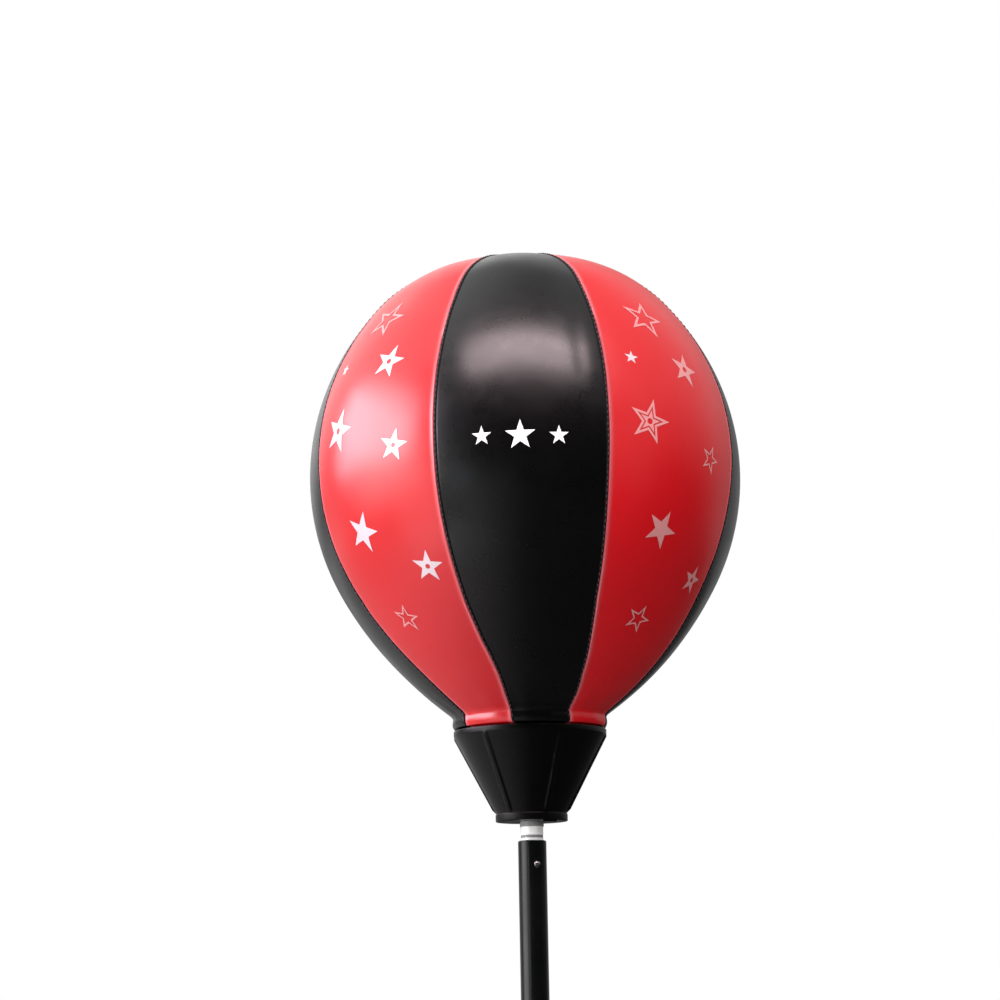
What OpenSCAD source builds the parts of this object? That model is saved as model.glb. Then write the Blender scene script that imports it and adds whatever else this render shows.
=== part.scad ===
// Spring reflex bag: an air-filled striking ball in a ribbed cup, on a telescopic pole
// that springs upright from a water-filled base. Millimetres, +Z up, front towards -Y,
// origin at the centre of the base's underside.

/* [Ball] */
// Width of the ball at its belt
ball_d = 248; // [240:1:270]
// Radius of the outline from the belt up to the shoulder
shoulder_arc_r = 142; // [130:1:160]
// Lean of the outline where the shoulder ends, in degrees
shoulder_turn = 30; // [24:1:36]
// Radius of the outline over the shoulder
crown_arc_r = 112; // [100:1:120]
// Lean of the outline where the flatter crown starts, in degrees
crown_turn = 70; // [62:1:74]
// Radius of the outline just under the belt
belly_arc_r = 140; // [130:1:150]
// Lean of the outline where the long lower curve starts, in degrees
belly_turn = 28; // [24:1:32]
// Radius of the long lower curve
cone_arc_r = 208; // [190:1:220]
// Lean of the straight cone above the collar, in degrees
cone_turn = 52.5; // [46:0.5:56]
// Thickness of the cover's leather
panel_t = 1.2; // [1:0.1:1.6]
// Width of the seam between two panels at the belt
seam_w = 0.4; // [0.2:0.05:0.8]
// Radius at which the panels' tips end under the crown patch
tip_r = 10; // [8:0.5:12]
// Width of the round crown patch
patch_d = 30; // [26:1:36]
// Thickness of the crown patch
patch_t = 1; // [0.8:0.1:1.4]
// Height of the upright collar above the cup
collar_h = 7.2; // [2:0.2:9]
// Size of the fold from the cone to the collar
collar_fold = 1.8; // [1:0.1:3]
// Length of leather tucked into the cup
tuck_len = 18; // [14:1:22]
// Wall of the rubber bladder
bladder_t = 1; // [0.8:0.1:1.4]

/* [Valve] */
// Width of the valve's rubber stem
valve_d = 6; // [5:0.2:7]
// Width of the needle hole
needle_d = 1.6; // [1.2:0.1:2]
// Depth of the valve below the belt
valve_down = 7; // [6:0.5:8]
// Width of the flange inside the bladder
valve_flange_d = 14; // [12:0.5:16]
// Width of the eyelet's visible ring
eyelet_d = 13; // [12:0.5:15]
// Wall of the eyelet's barrel
eyelet_wall = 1.1; // [0.8:0.1:1.4]

/* [Cup] */
// Width of the cup over its rim
cup_rim_d = 86; // [80:1:92]
// Height of the rim band
cup_rim_h = 3; // [2:0.2:6]
// Width of the cup where the cone meets the lower lip
cup_foot_d = 39.6; // [36:0.4:44]
// Height of the lower lip
cup_lip_h = 4; // [3:0.2:6]
// Step out from the cone to the lower lip
cup_lip_step = 0.6; // [0.3:0.1:1]
// Height of the whole cup
cup_h = 51.4; // [46:0.2:60]
// Wall of the cup
cup_wall = 2.6; // [2:0.1:3.4]
// Thickness of the cup's floor
cup_floor = 7.5; // [6.5:0.5:10]
// Number of raised ribs down the cup
rib_count = 6; // [4:1:10]
// Width of a rib
rib_w = 3; // [2:0.2:4]
// Height of a rib over the cone
rib_rise = 1; // [0.6:0.1:1.6]
// Direction of the first rib, from the front towards the right, in degrees
rib_phase = 24; // [0:1:59]
// Thickness of the wedge that grips the leather
plug_h = 20; // [16:1:24]
// Depth of the wedge's top below the rim
plug_drop = 4; // [3:0.5:6]
// Width of the bolt that pulls the wedge down
clamp_bolt_d = 6; // [5:0.5:7]

/* [Neck] */
// Width of the plated neck tube
neck_d = 12.7; // [12:0.1:12.8]
// Wall of the neck tube
neck_wall = 1.2; // [1:0.1:1.4]
// Length of neck that shows between the cup and the pole
neck_show = 10.7; // [8:0.1:14]
// Length of neck inside the pole
neck_in = 36; // [30:1:44]
// Depth of the cup's socket for the neck
socket_h = 5; // [4:0.5:6]
// Height of the rubber ring under the cup
seal_h = 2.9; // [2:0.1:4]
// Wall of the rubber ring
seal_wall = 0.7; // [0.5:0.1:1.2]
// Length of the threaded insert in the neck
insert_l = 14; // [10:1:16]
// Height of the groove rolled into the neck above the pole
groove_h = 1.1; // [0.8:0.1:1.6]
// Depth of that groove
groove_depth = 0.4; // [0.2:0.05:0.6]
// Height of the groove above the pole's top
groove_up = 2.4; // [1.8:0.1:3]

/* [Poles] */
// Outer width of the upper pole
upper_d = 16; // [15.6:0.1:16]
// Wall of the upper pole
upper_wall = 1.5; // [1.3:0.1:1.5]
// Length of the upper pole
upper_l = 400; // [380:5:440]
// Length of the upper pole that stands in the lower one
pole_overlap = 198; // [190:1:220]
// Outer width of the lower pole
lower_d = 19; // [19:0.1:20]
// Wall of the lower pole
lower_wall = 1.2; // [1:0.1:1.2]
// Length of the lower pole
lower_l = 400; // [390:5:440]
// Edge broken on the tubes' ends
tube_edge = 0.5; // [0.3:0.1:0.6]
// Outer width of the collar on the lower pole
pole_collar_d = 26; // [24:0.5:30]
// Height of that collar
pole_collar_h = 28; // [24:1:34]
// Height of the collar above the lower pole's end
pole_collar_up = 10; // [8:1:14]
// Height of the guide plug's flange at the upper pole's foot
guide_flange_h = 3; // [2:0.5:5]
// Length of the guide plug inside the upper pole
guide_plug_l = 12; // [8:1:14]

/* [Snap buttons] */
// Direction of both buttons, from the front towards the right, in degrees
button_turn = 18; // [0:1:40]
// Width of the height button
height_button_d = 6; // [5:0.2:6.4]
// Height of the height button above the upper pole's foot
height_button_up = 30; // [28:1:40]
// Distance between two heights
height_step = 40; // [36:1:40]
// Steps that the ball can be lowered from its stored height
steps_down = 4; // [2:1:4]
// Steps that the ball can be raised from its stored height
steps_up = 2; // [1:1:2]
// Width of the neck button
neck_button_d = 3.4; // [3:0.1:4]
// Depth of the neck button below the pole's top
neck_button_drop = 13.4; // [12:0.1:16]
// Distance that a button stands out of the tube it locks
button_proud = 1.4; // [1:0.1:2]
// Thickness of the leaf springs behind the buttons
leaf_t = 0.5; // [0.4:0.1:0.6]

/* [Spring] */
// Width of the spring's wire
wire_d = 6; // [5.4:0.1:6.2]
// Width of the coil, through the middle of its wire
coil_d = 38; // [36:0.5:42]
// Length of the spring between its two plugs
spring_l = 112; // [106:1:130]
// Number of curls
coil_turns = 10; // [8:1:11]
// Radius of the bend from the coil to its upright ends
wire_bend_r = 5; // [4:0.5:6]
// Thickness of the flange on each plug
plug_flange_h = 5; // [4:0.5:7]
// Width of those flanges
plug_flange_d = 47; // [46:0.5:48]
// Length of each plug inside the coil
plug_in = 16; // [10:1:20]
// Wall of the plastic cups round the coil's ends
skirt_wall = 3; // [2:0.2:4]
// Thickness of those cups' plates
skirt_plate_h = 4; // [3:0.5:6]
// Height of those cups
skirt_h = 18; // [14:1:22]
// Space between the coil and those cups
skirt_gap = 3.5; // [3:0.5:5]
// Wall of the sleeve that holds the lower pole
sleeve_wall = 4; // [3:0.5:5]
// Length of that sleeve
sleeve_h = 40; // [32:1:44]
// Width of the pin across the sleeve
pin_d = 4; // [3:0.5:5]

/* [Base] */
// Width of the base
base_d = 400; // [360:5:440]
// Height of the base over its boss
base_h = 114; // [112:1:130]
// Height of the upright rim wall
rim_wall_h = 32; // [26:1:36]
// Radius of the rounded shoulder
base_round = 28; // [20:1:32]
// Height of the boss above the sloping top
boss_rise = 12.4; // [10:0.4:16]
// Edge broken under the rim wall
foot_edge = 8; // [4:1:10]
// Wall of the moulded tank
tank_wall = 3; // [2.4:0.2:4]
// Width of the boss under the spring
boss_d = 80; // [72:1:90]
// Width of the recess in the underside
recess_d = 52; // [44:1:60]
// Depth of that recess
recess_h = 14; // [12:1:18]
// Width of the column inside the tank
column_d = 26; // [22:1:32]
// Width of the centre bolt
base_bolt_d = 10; // [8:1:12]
// Thread of the centre bolt inside the lower plug
base_bolt_in = 14; // [10:1:16]
// Distance of the filler's centre from the base's edge
filler_in = 80; // [70:1:90]
// Width of the filler hole
filler_d = 38; // [32:1:42]
// Width of the flat pad round the filler hole
filler_pad_d = 54; // [50:1:60]
// Height of that pad above the sloping top, at its inner edge
filler_pad_rise = 0.6; // [0.4:0.1:1.2]
// Thickness of the filler's gasket
gasket_t = 1.2; // [1:0.1:2]
// Depth of the cap's plug in the filler
cap_depth = 12; // [8:1:12]
// Height of the cap's head
cap_head_h = 5; // [4:0.5:8]

/* [Fits] */
// Gap between pieces that are fixed to each other
seat_gap = 0.2; // [0.1:0.05:0.25]
// Gap between a shank and its hole
shank_gap = 0.05; // [0.02:0.01:0.1]
// Gap between pieces that slide in each other
slide_gap = 0.3; // [0.25:0.05:0.35]
// Gap between a button and its holes
button_gap = 0.25; // [0.2:0.05:0.35]
// Gap round the cap's plug
cap_gap = 0.4; // [0.3:0.1:0.6]

/* [Hidden] */
$fn = 96;
eps = 0.01;

// Colours
leather_black = [0.06, 0.06, 0.07];
leather_red = [0.82, 0.13, 0.15];
plastic_black = [0.09, 0.09, 0.10];
paint_black = [0.04, 0.04, 0.05];
plated = [0.80, 0.80, 0.82];
steel = [0.62, 0.63, 0.65];
rubber_dark = [0.15, 0.15, 0.16];

// Radii
ball_r = ball_d/2;
rim_r = cup_rim_d/2;
foot_r = cup_foot_d/2;
neck_r = neck_d/2;
neck_bore_r = neck_r - neck_wall;
upper_r = upper_d/2;
upper_bore_r = upper_r - upper_wall;
lower_r = lower_d/2;
lower_bore_r = lower_r - lower_wall;
coil_r = coil_d/2;
wire_r = wire_d/2;
base_r = base_d/2;
clamp_r = clamp_bolt_d/2;
base_bolt_r = base_bolt_d/2;

// Heights, from the floor up
boss_z = base_h;
lower_flange_z = boss_z + skirt_plate_h;
spring_z = lower_flange_z + plug_flange_h;
upper_flange_z = spring_z + spring_l;
lower_pole_z = upper_flange_z + plug_flange_h;
lower_top_z = lower_pole_z + lower_l;
upper_pole_z = lower_top_z - pole_overlap;
upper_top_z = upper_pole_z + upper_l;
cup_z = upper_top_z + neck_show;
rim_z = cup_z + cup_h;
height_button_z = upper_pole_z + height_button_up;
neck_button_z = upper_top_z - neck_button_drop;
neck_top_z = cup_z + socket_h - seat_gap;
neck_foot_z = upper_top_z - neck_in;
plug_top_z = rim_z - plug_drop;

// Outline of the ball, from its belt. A line of arcs is [radius, height] points.
PANELS = 8;
shoulder_steps = 5;
crown_steps = 6;
cap_steps = 4;
belly_steps = 5;
cone_steps = 4;
collar_r = rim_r + seat_gap*2;
fold_r = collar_r + collar_fold;

function last(v) = v[len(v) - 1];
function reversed(v) = [for (i = [len(v) - 1:-1:0]) v[i]];
function arc_run(p, rho, a0, a1, up, n) = [
    for (i = [1:n]) let (a = a0 + (a1 - a0)*i/n)
        [p.x + rho*(cos(a) - cos(a0)), p.y + up*rho*(sin(a) - sin(a0))]
];
function crown_line(inset, r_end) =
    let (belt = [ball_r - inset, 0],
        shoulder = arc_run(belt, shoulder_arc_r - inset, 0, shoulder_turn, 1, shoulder_steps),
        crown = arc_run(last(shoulder), crown_arc_r - inset, shoulder_turn, crown_turn, 1, crown_steps),
        cap_rho = last(crown).x/cos(crown_turn),
        cap = arc_run(last(crown), cap_rho, crown_turn, acos(r_end/cap_rho), 1, cap_steps))
    concat([belt], shoulder, crown, [for (i = [0:cap_steps - 2]) cap[i]], [[r_end, last(cap).y]]);

// The long lower curve stops early where it would pass the collar
belly_end = last(arc_run([ball_r, 0], belly_arc_r, 0, belly_turn, -1, belly_steps));
cone_room = (fold_r + 2*panel_t - belly_end.x)/cone_arc_r + cos(belly_turn);
cone_end = min(cone_turn, acos(cone_room));

function belly_line(inset, r_end) =
    let (belly = arc_run([ball_r - inset, 0], belly_arc_r - inset, 0, belly_turn, -1, belly_steps),
        cone = arc_run(last(belly), cone_arc_r - inset, belly_turn, cone_end, -1, cone_steps),
        drop = (last(cone).x - r_end)/tan(cone_end))
    concat(belly, cone, [[r_end, last(cone).y - drop]]);

fold_z = last(belly_line(0, fold_r)).y;
ball_drop = -fold_z + collar_fold + collar_h + seat_gap;
belt_z = rim_z + ball_drop;
crown_edge = crown_line(0, 0)[shoulder_steps + crown_steps];
crown_z = last(crown_line(0, 0)).y;

// Inside of the cup
cup_cone_h = cup_h - cup_rim_h - cup_lip_h;
cup_slope = (rim_r - foot_r)/cup_cone_h;
cup_in_r = rim_r - cup_wall;
function cup_in(depth) = cup_in_r - cup_slope*depth;
tuck_r = cup_in_r - seat_gap;
tuck_foot_r = cup_in(tuck_len) - seat_gap;
function wedge_r(depth) = cup_in(depth) - 2*seat_gap - panel_t*1.2;

function panel_outline() =
    let (inner_r = collar_r - panel_t,
        seat_z = -ball_drop + seat_gap,
        tuck_t = panel_t*1.2,
        inner_fold = belly_line(panel_t, fold_r - panel_t))
    concat(
        reversed(crown_line(0, tip_r)),
        belly_line(0, fold_r),
        [[collar_r, fold_z - collar_fold], [collar_r, seat_z], [tuck_r, seat_z],
            [tuck_foot_r, -ball_drop - tuck_len], [tuck_foot_r - tuck_t, -ball_drop - tuck_len],
            [cup_in(-seat_gap - panel_t) - seat_gap - tuck_t, seat_z + panel_t],
            [inner_r, seat_z + panel_t],
            [inner_r, last(inner_fold).y - collar_fold]],
        reversed(inner_fold),
        crown_line(panel_t, tip_r)
    );

// Panel number 0 faces the front, and the numbers go round to the right
module panel(n) {
    pitch = 360/PANELS;
    seam_angle = seam_w/ball_r*180/PI;
    translate([0, 0, belt_z])
        rotate([0, 0, -90 + (n - 0.5)*pitch + seam_angle/2])
            rotate_extrude(angle = pitch - seam_angle) polygon(panel_outline());
}

// Radius of the cover where the valve comes through it
valve_r = ball_r - belly_arc_r*(1 - cos(asin(valve_down/belly_arc_r)));

// Lays a solid that stands along +Z along the valve's axis, at a distance from the cover
module at_valve(outwards) {
    translate([0, valve_r + outwards, belt_z - valve_down]) rotate([-90, 0, 0]) children();
}

module panel_front() { color(leather_black) panel(0); }
module panel_front_right() { color(leather_red) panel(1); }
module panel_right() { color(leather_black) panel(2); }
module panel_rear_right() { color(leather_red) panel(3); }
module panel_rear() {
    hole_d = valve_d + 2*(slide_gap + eyelet_wall + seat_gap);
    color(leather_black) difference() {
        panel(4);
        at_valve(-3*panel_t) cylinder(d = hole_d, h = 6*panel_t);
    }
}
module panel_rear_left() { color(leather_red) panel(5); }
module panel_left() { color(leather_black) panel(6); }
module panel_front_left() { color(leather_red) panel(7); }

module crown_patch() {
    cap_rho = crown_edge.x/cos(crown_turn);
    under = cap_rho + seat_gap/2;
    over = under + patch_t;
    half_angle = asin(patch_d/2/over);
    steps = 4;
    arc = [for (i = [1:steps]) half_angle*i/steps];
    color(leather_black) translate([0, 0, belt_z + crown_z - cap_rho]) rotate_extrude()
        polygon(concat(
            [[0, under]], [for (a = arc) [under*sin(a), under*cos(a)]],
            [for (a = reversed(arc)) [over*sin(a), over*cos(a)]], [[0, over]]
        ));
}

// The bladder fills the cover and sits just above the clamp bolt's head
bladder_inset = panel_t + slide_gap;
bladder_foot_z = -ball_drop - plug_drop + 2*clamp_r + seat_gap;

// Outline of the bladder's skin, from the top of the ball down to its flat foot
function bladder_line(inset, foot_z) =
    let (belly = belly_line(inset, fold_r - inset), foot_r = collar_r - inset)
    concat(
        reversed(crown_line(inset, 0)), belly,
        [[foot_r, last(belly).y - collar_fold], [foot_r, foot_z], [0, foot_z]]
    );

module bladder() {
    inner_inset = bladder_inset + bladder_t;
    color(rubber_dark) difference() {
        translate([0, 0, belt_z]) rotate_extrude() polygon(concat(
            bladder_line(bladder_inset, bladder_foot_z),
            reversed(bladder_line(inner_inset, bladder_foot_z + bladder_t))
        ));
        at_valve(-bladder_inset - 3*bladder_t)
            cylinder(d = valve_d + 2*shank_gap, h = 4*bladder_t);
    }
}

module bladder_valve() {
    skin_depth = bladder_inset + bladder_t;
    flange_sag = valve_flange_d/2*(valve_flange_d/2/ball_r + valve_down/belly_arc_r);
    flange_t = 1.6;
    stem_l = skin_depth + flange_sag + flange_t;
    color(rubber_dark) at_valve(-stem_l) difference() {
        union() {
            cylinder(d = valve_flange_d, h = flange_t);
            cylinder(d = valve_d, h = stem_l);
        }
        translate([0, 0, stem_l/3]) cylinder(d = needle_d, h = stem_l);
    }
}

module valve_eyelet() {
    ring_t = 0.8;
    bore_d = valve_d + 2*slide_gap;
    color(plated) difference() {
        union() {
            at_valve(-panel_t) cylinder(d = bore_d + 2*eyelet_wall, h = panel_t + ring_t);
            at_valve(seat_gap) cylinder(d = eyelet_d, h = ring_t);
        }
        at_valve(-2*panel_t) cylinder(d = bore_d, h = 4*panel_t);
    }
}

module ball_cup() {
    lip_r = foot_r + cup_lip_step;
    cone_z = cup_z + cup_lip_h;
    cone_top_z = rim_z - cup_rim_h;
    cavity_h = cup_h - cup_floor;
    // A rib follows the cone and dies into the rim band and the lip
    rib_line = [
        [foot_r - cup_wall/2, cone_z - eps], [foot_r + rib_rise, cone_z - eps],
        [rim_r + rib_rise/2, cone_top_z + eps], [rim_r - cup_wall/2, cone_top_z + eps]
    ];
    color(plastic_black) difference() {
        union() {
            translate([0, 0, cup_z]) cylinder(r = lip_r, h = cup_lip_h);
            translate([0, 0, cone_z]) cylinder(r1 = foot_r, r2 = rim_r, h = cup_cone_h);
            translate([0, 0, cone_top_z]) cylinder(r = rim_r, h = cup_rim_h);
            for (i = [0:rib_count - 1])
                rotate([0, 0, -90 + rib_phase + 360*i/rib_count]) rotate([90, 0, 0])
                    linear_extrude(rib_w, center = true) polygon(rib_line);
        }
        translate([0, 0, cup_z + cup_floor])
            cylinder(r1 = cup_in(cavity_h), r2 = cup_in_r, h = cavity_h);
        translate([0, 0, rim_z - eps]) cylinder(r = cup_in_r, h = 1);
        translate([0, 0, cup_z - 1]) cylinder(r = neck_r + seat_gap, h = socket_h + 1);
        translate([0, 0, cup_z]) cylinder(r = clamp_r + shank_gap, h = cup_h);
    }
}

washer_t = 1.6;
clamp_head_h = 2*clamp_r - washer_t;

module clamp_plug() {
    dish_h = plug_h/4;
    color(plastic_black) difference() {
        translate([0, 0, plug_top_z - plug_h])
            cylinder(r1 = wedge_r(plug_drop + plug_h), r2 = wedge_r(plug_drop), h = plug_h);
        translate([0, 0, plug_top_z - plug_h - 1])
            cylinder(r = clamp_r + shank_gap, h = plug_h + 2);
        translate([0, 0, plug_top_z - plug_h - 1])
            difference() {
                cylinder(r = wedge_r(plug_drop + plug_h) - cup_wall, h = dish_h + 1);
                cylinder(r = 3*clamp_r, h = dish_h + 1);
            }
    }
}

module clamp_washer() {
    color(steel) translate([0, 0, plug_top_z]) difference() {
        cylinder(r = 3*clamp_r, h = washer_t);
        translate([0, 0, -1]) cylinder(r = clamp_r + shank_gap, h = washer_t + 2);
    }
}

module clamp_bolt() {
    head_z = plug_top_z + washer_t;
    tip_z = neck_top_z - insert_l + 1;
    color(steel) {
        translate([0, 0, head_z]) cylinder(d = clamp_bolt_d*1.9, h = clamp_head_h, $fn = 6);
        translate([0, 0, tip_z]) cylinder(r = clamp_r, h = head_z - tip_z + eps);
    }
}

// Points outwards from the pole's axis, towards the snap buttons, at a height
module at_button(z) {
    translate([0, 0, z]) rotate([0, 0, -90 + button_turn]) rotate([0, 90, 0]) children();
}

// A button's flange sits as far out as a tube's bore lets it
function flange_top(bore_r, flange_r) = sqrt(bore_r*bore_r - flange_r*flange_r) - seat_gap;
flange_t = 1;

module snap_button(d, flange_r, bore_r, tip) {
    top = flange_top(bore_r, flange_r);
    dome = d/4;
    cylinder_l = tip - dome - top;
    translate([0, 0, top - flange_t]) cylinder(r = flange_r, h = flange_t);
    translate([0, 0, top - eps]) cylinder(d = d, h = cylinder_l + eps);
    // The end is a part of a ball
    ball_rho = (d*d/4 + dome*dome)/(2*dome);
    translate([0, 0, top + cylinder_l + dome - ball_rho]) intersection() {
        sphere(r = ball_rho);
        translate([0, 0, ball_rho - dome - eps]) cylinder(r = d, h = 2*dome);
    }
}

// A leaf bent to a V below a button, from the opposite wall to the back of its flange
module snap_clip(flange_r, bore_r, leaf_w, reach) {
    front = flange_top(bore_r, flange_r) - flange_t - shank_gap;
    back = sqrt(bore_r*bore_r - leaf_w*leaf_w/4) - seat_gap/2;
    t = leaf_t;
    rotate([90, 0, 0]) linear_extrude(leaf_w, center = true) polygon([
        [-reach*0.4, -back], [reach, -back], [reach*1.1, -back + 2*t], [reach*1.1, -back + 3*t],
        [flange_r, front], [-flange_r, front], [-flange_r, front - t],
        [flange_r - t/2, front - t], [reach*1.1 - t, -back + 2.6*t], [reach - t/2, -back + t],
        [-reach*0.4, -back + t]
    ]);
}

height_flange_r = height_button_d/2 + 1.2;
neck_flange_r = neck_button_d/2 + 0.9;

module height_button() {
    color(plated) at_button(height_button_z)
        snap_button(height_button_d, height_flange_r, upper_bore_r, lower_r + button_proud);
}
module height_button_clip() {
    color(steel) at_button(height_button_z)
        snap_clip(height_flange_r, upper_bore_r, height_button_d*0.8, height_button_d*2.3);
}
module neck_button() {
    color(plated) at_button(neck_button_z)
        snap_button(neck_button_d, neck_flange_r, neck_bore_r, upper_r + button_proud);
}
module neck_button_clip() {
    color(steel) at_button(neck_button_z)
        snap_clip(neck_flange_r, neck_bore_r, neck_button_d, neck_button_d*4.4);
}

// A tube with broken edges, along +Z
module tube(r, bore_r, h, edge) {
    rotate_extrude() polygon([
        [bore_r, 0], [r - edge, 0], [r, edge], [r, h - edge], [r - edge, h], [bore_r, h]
    ]);
}

module neck_stub() {
    color(plated) difference() {
        translate([0, 0, neck_foot_z])
            tube(neck_r, neck_bore_r, neck_top_z - neck_foot_z, neck_wall/3);
        translate([0, 0, upper_top_z + groove_up]) difference() {
            cylinder(r = neck_r + 1, h = groove_h);
            translate([0, 0, -1]) cylinder(r = neck_r - groove_depth, h = groove_h + 2);
        }
        at_button(neck_button_z) cylinder(d = neck_button_d + 2*button_gap, h = upper_r);
    }
}

module neck_insert() {
    color(steel) translate([0, 0, neck_top_z - insert_l]) difference() {
        cylinder(r = neck_bore_r - shank_gap, h = insert_l);
        translate([0, 0, 1]) cylinder(r = clamp_r + shank_gap, h = insert_l);
    }
}

module neck_seal() {
    color(rubber_dark) translate([0, 0, cup_z - seal_h]) difference() {
        cylinder(r = neck_r + shank_gap + seal_wall, h = seal_h);
        translate([0, 0, -1]) cylinder(r = neck_r + shank_gap, h = seal_h + 2);
    }
}

module upper_pole() {
    color(paint_black) difference() {
        translate([0, 0, upper_pole_z]) tube(upper_r, upper_bore_r, upper_l, tube_edge);
        at_button(height_button_z) cylinder(d = height_button_d + 2*button_gap, h = lower_r);
        at_button(neck_button_z) cylinder(d = neck_button_d + 2*button_gap, h = lower_r);
    }
}

module pole_bottom_guide() {
    color(plastic_black) translate([0, 0, upper_pole_z - guide_flange_h]) {
        cylinder(r = upper_r + slide_gap/3, h = guide_flange_h);
        cylinder(r = upper_bore_r - seat_gap, h = guide_flange_h + guide_plug_l);
    }
}

module lower_pole() {
    color(paint_black) difference() {
        translate([0, 0, lower_pole_z]) tube(lower_r, lower_bore_r, lower_l, tube_edge);
        for (i = [-steps_down:steps_up]) at_button(height_button_z + i*height_step)
            cylinder(d = height_button_d + 2*button_gap, h = 2*lower_r);
        translate([0, 0, pin_z]) rotate([0, 90, 0])
            cylinder(d = pin_d + 2*shank_gap, h = 4*lower_r, center = true);
    }
}

module pole_collar() {
    cover_h = pole_collar_h - pole_collar_up;
    color(plastic_black) translate([0, 0, lower_top_z - cover_h]) difference() {
        rotate_extrude() polygon([
            [0, 0], [pole_collar_d/2 - 1, 0], [pole_collar_d/2, 1],
            [pole_collar_d/2, cover_h], [pole_collar_d/2 - 3, pole_collar_h], [0, pole_collar_h]
        ]);
        translate([0, 0, -1]) cylinder(r = lower_r + seat_gap/2, h = cover_h + 1 + seat_gap/2);
        cylinder(r = upper_r + slide_gap, h = 2*pole_collar_h);
    }
}

// Spring and its plugs
sleeve_r = lower_r + seat_gap/2 + sleeve_wall;
pin_z = lower_pole_z + sleeve_h*0.55;
// The coil's straight runs between its rings come nearest to the plugs
rings_per_curl = 8;
wire_sides = 6;
plug_r = coil_r*cos(180/rings_per_curl) - wire_r - seat_gap;
skirt_in_r = coil_r + wire_r + skirt_gap;
skirt_r = skirt_in_r + skirt_wall;

module lower_spring_plug() {
    color(steel) difference() {
        union() {
            translate([0, 0, lower_flange_z]) cylinder(d = plug_flange_d, h = plug_flange_h);
            translate([0, 0, spring_z - eps]) cylinder(r = plug_r, h = plug_in + eps);
        }
        translate([0, 0, lower_flange_z - 1])
            cylinder(r = base_bolt_r + shank_gap, h = base_bolt_in + 2);
    }
}

module upper_spring_plug() {
    color(steel) difference() {
        union() {
            translate([0, 0, upper_flange_z - plug_in]) cylinder(r = plug_r, h = plug_in + eps);
            translate([0, 0, upper_flange_z]) cylinder(d = plug_flange_d, h = plug_flange_h);
            translate([0, 0, lower_pole_z - eps]) cylinder(r = sleeve_r, h = sleeve_h + eps);
        }
        translate([0, 0, lower_pole_z]) cylinder(r = lower_r + seat_gap/2, h = sleeve_h + 1);
        translate([0, 0, pin_z]) rotate([0, 90, 0])
            cylinder(d = pin_d + 2*shank_gap, h = 3*sleeve_r, center = true);
    }
}

module lower_pole_pin() {
    color(steel) translate([0, 0, pin_z]) rotate([0, 90, 0])
        cylinder(d = pin_d, h = 2*sleeve_r + 1, center = true);
}

// A plate with a skirt that stands up from it, and a hole
module spring_cup(hole_r) {
    rotate_extrude() polygon([
        [hole_r, 0], [skirt_r - 1, 0], [skirt_r, 1], [skirt_r, skirt_h - 1],
        [skirt_r - 1, skirt_h], [skirt_in_r, skirt_h], [skirt_in_r, skirt_plate_h],
        [hole_r, skirt_plate_h]
    ]);
}
module lower_spring_cup() {
    color(plastic_black) translate([0, 0, boss_z]) spring_cup(base_bolt_r + seat_gap);
}
module upper_spring_cup() {
    color(plastic_black) translate([0, 0, lower_pole_z + skirt_plate_h]) mirror([0, 0, 1])
        spring_cup(sleeve_r + seat_gap);
}

// The spring is one tube, swept along a helix whose ends turn upright and stand on the plugs
bend_steps = 3;

function radial(a) = [cos(a), sin(a), 0];
function around(a) = [-sin(a), cos(a), 0];
// The coil climbs at this angle, and the bend at each end stops short of level by it
function climb(rise) = atan(rise/(PI*coil_d));
bend_stop = 90 - climb((spring_l - 2*(wire_d + wire_bend_r))/coil_turns);
end_h = wire_d + wire_bend_r*sin(bend_stop);
coil_pitch = (spring_l - 2*end_h)/coil_turns;
end_side = wire_bend_r*(1 - cos(bend_stop));

// Each stop on the wire is [point, direction, radial direction]
function end_stops(a, up) = [
    for (b = [for (i = [0:bend_steps - 1]) bend_stop*i/bend_steps])
        [coil_r*radial(a) - up*wire_bend_r*(cos(b) - cos(bend_stop))*around(a)
            + [0, 0, wire_d + wire_bend_r*sin(b)],
            sin(b)*around(a)*up + cos(b)*[0, 0, 1], radial(a)]
];
foot_stop = [coil_r*radial(0) - end_side*around(0), [0, 0, 1], radial(0)];
coil_stops = [
    for (i = [0:coil_turns*rings_per_curl]) let (a = 360*i/rings_per_curl)
        [coil_r*radial(a) + [0, 0, end_h + coil_pitch*a/360],
            around(a)*cos(90 - bend_stop) + [0, 0, sin(90 - bend_stop)], radial(a)]
];
lower_stops = concat([foot_stop], end_stops(0, 1));
// The upper end is the lower one turned over about the spring's middle
function turned(s) = let (a = 360*coil_turns)
    [[s[0].x, -s[0].y, spring_l - s[0].z], [-s[1].x, s[1].y, s[1].z], s[2]];
wire_stops = concat(lower_stops, coil_stops, [for (s = reversed(lower_stops)) turned(s)]);
wire_points = [for (s = wire_stops) s[0]];

// Least gap between two places on the wire that are over half a curl apart
wire_gap = min([
    for (i = [0:len(wire_points) - 1], j = [i + 1:len(wire_points) - 1])
        if (j - i > rings_per_curl/2) norm(wire_points[i] - wire_points[j]) - wire_d
]);
echo(least_gap_of_spring_to_itself = wire_gap);

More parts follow.
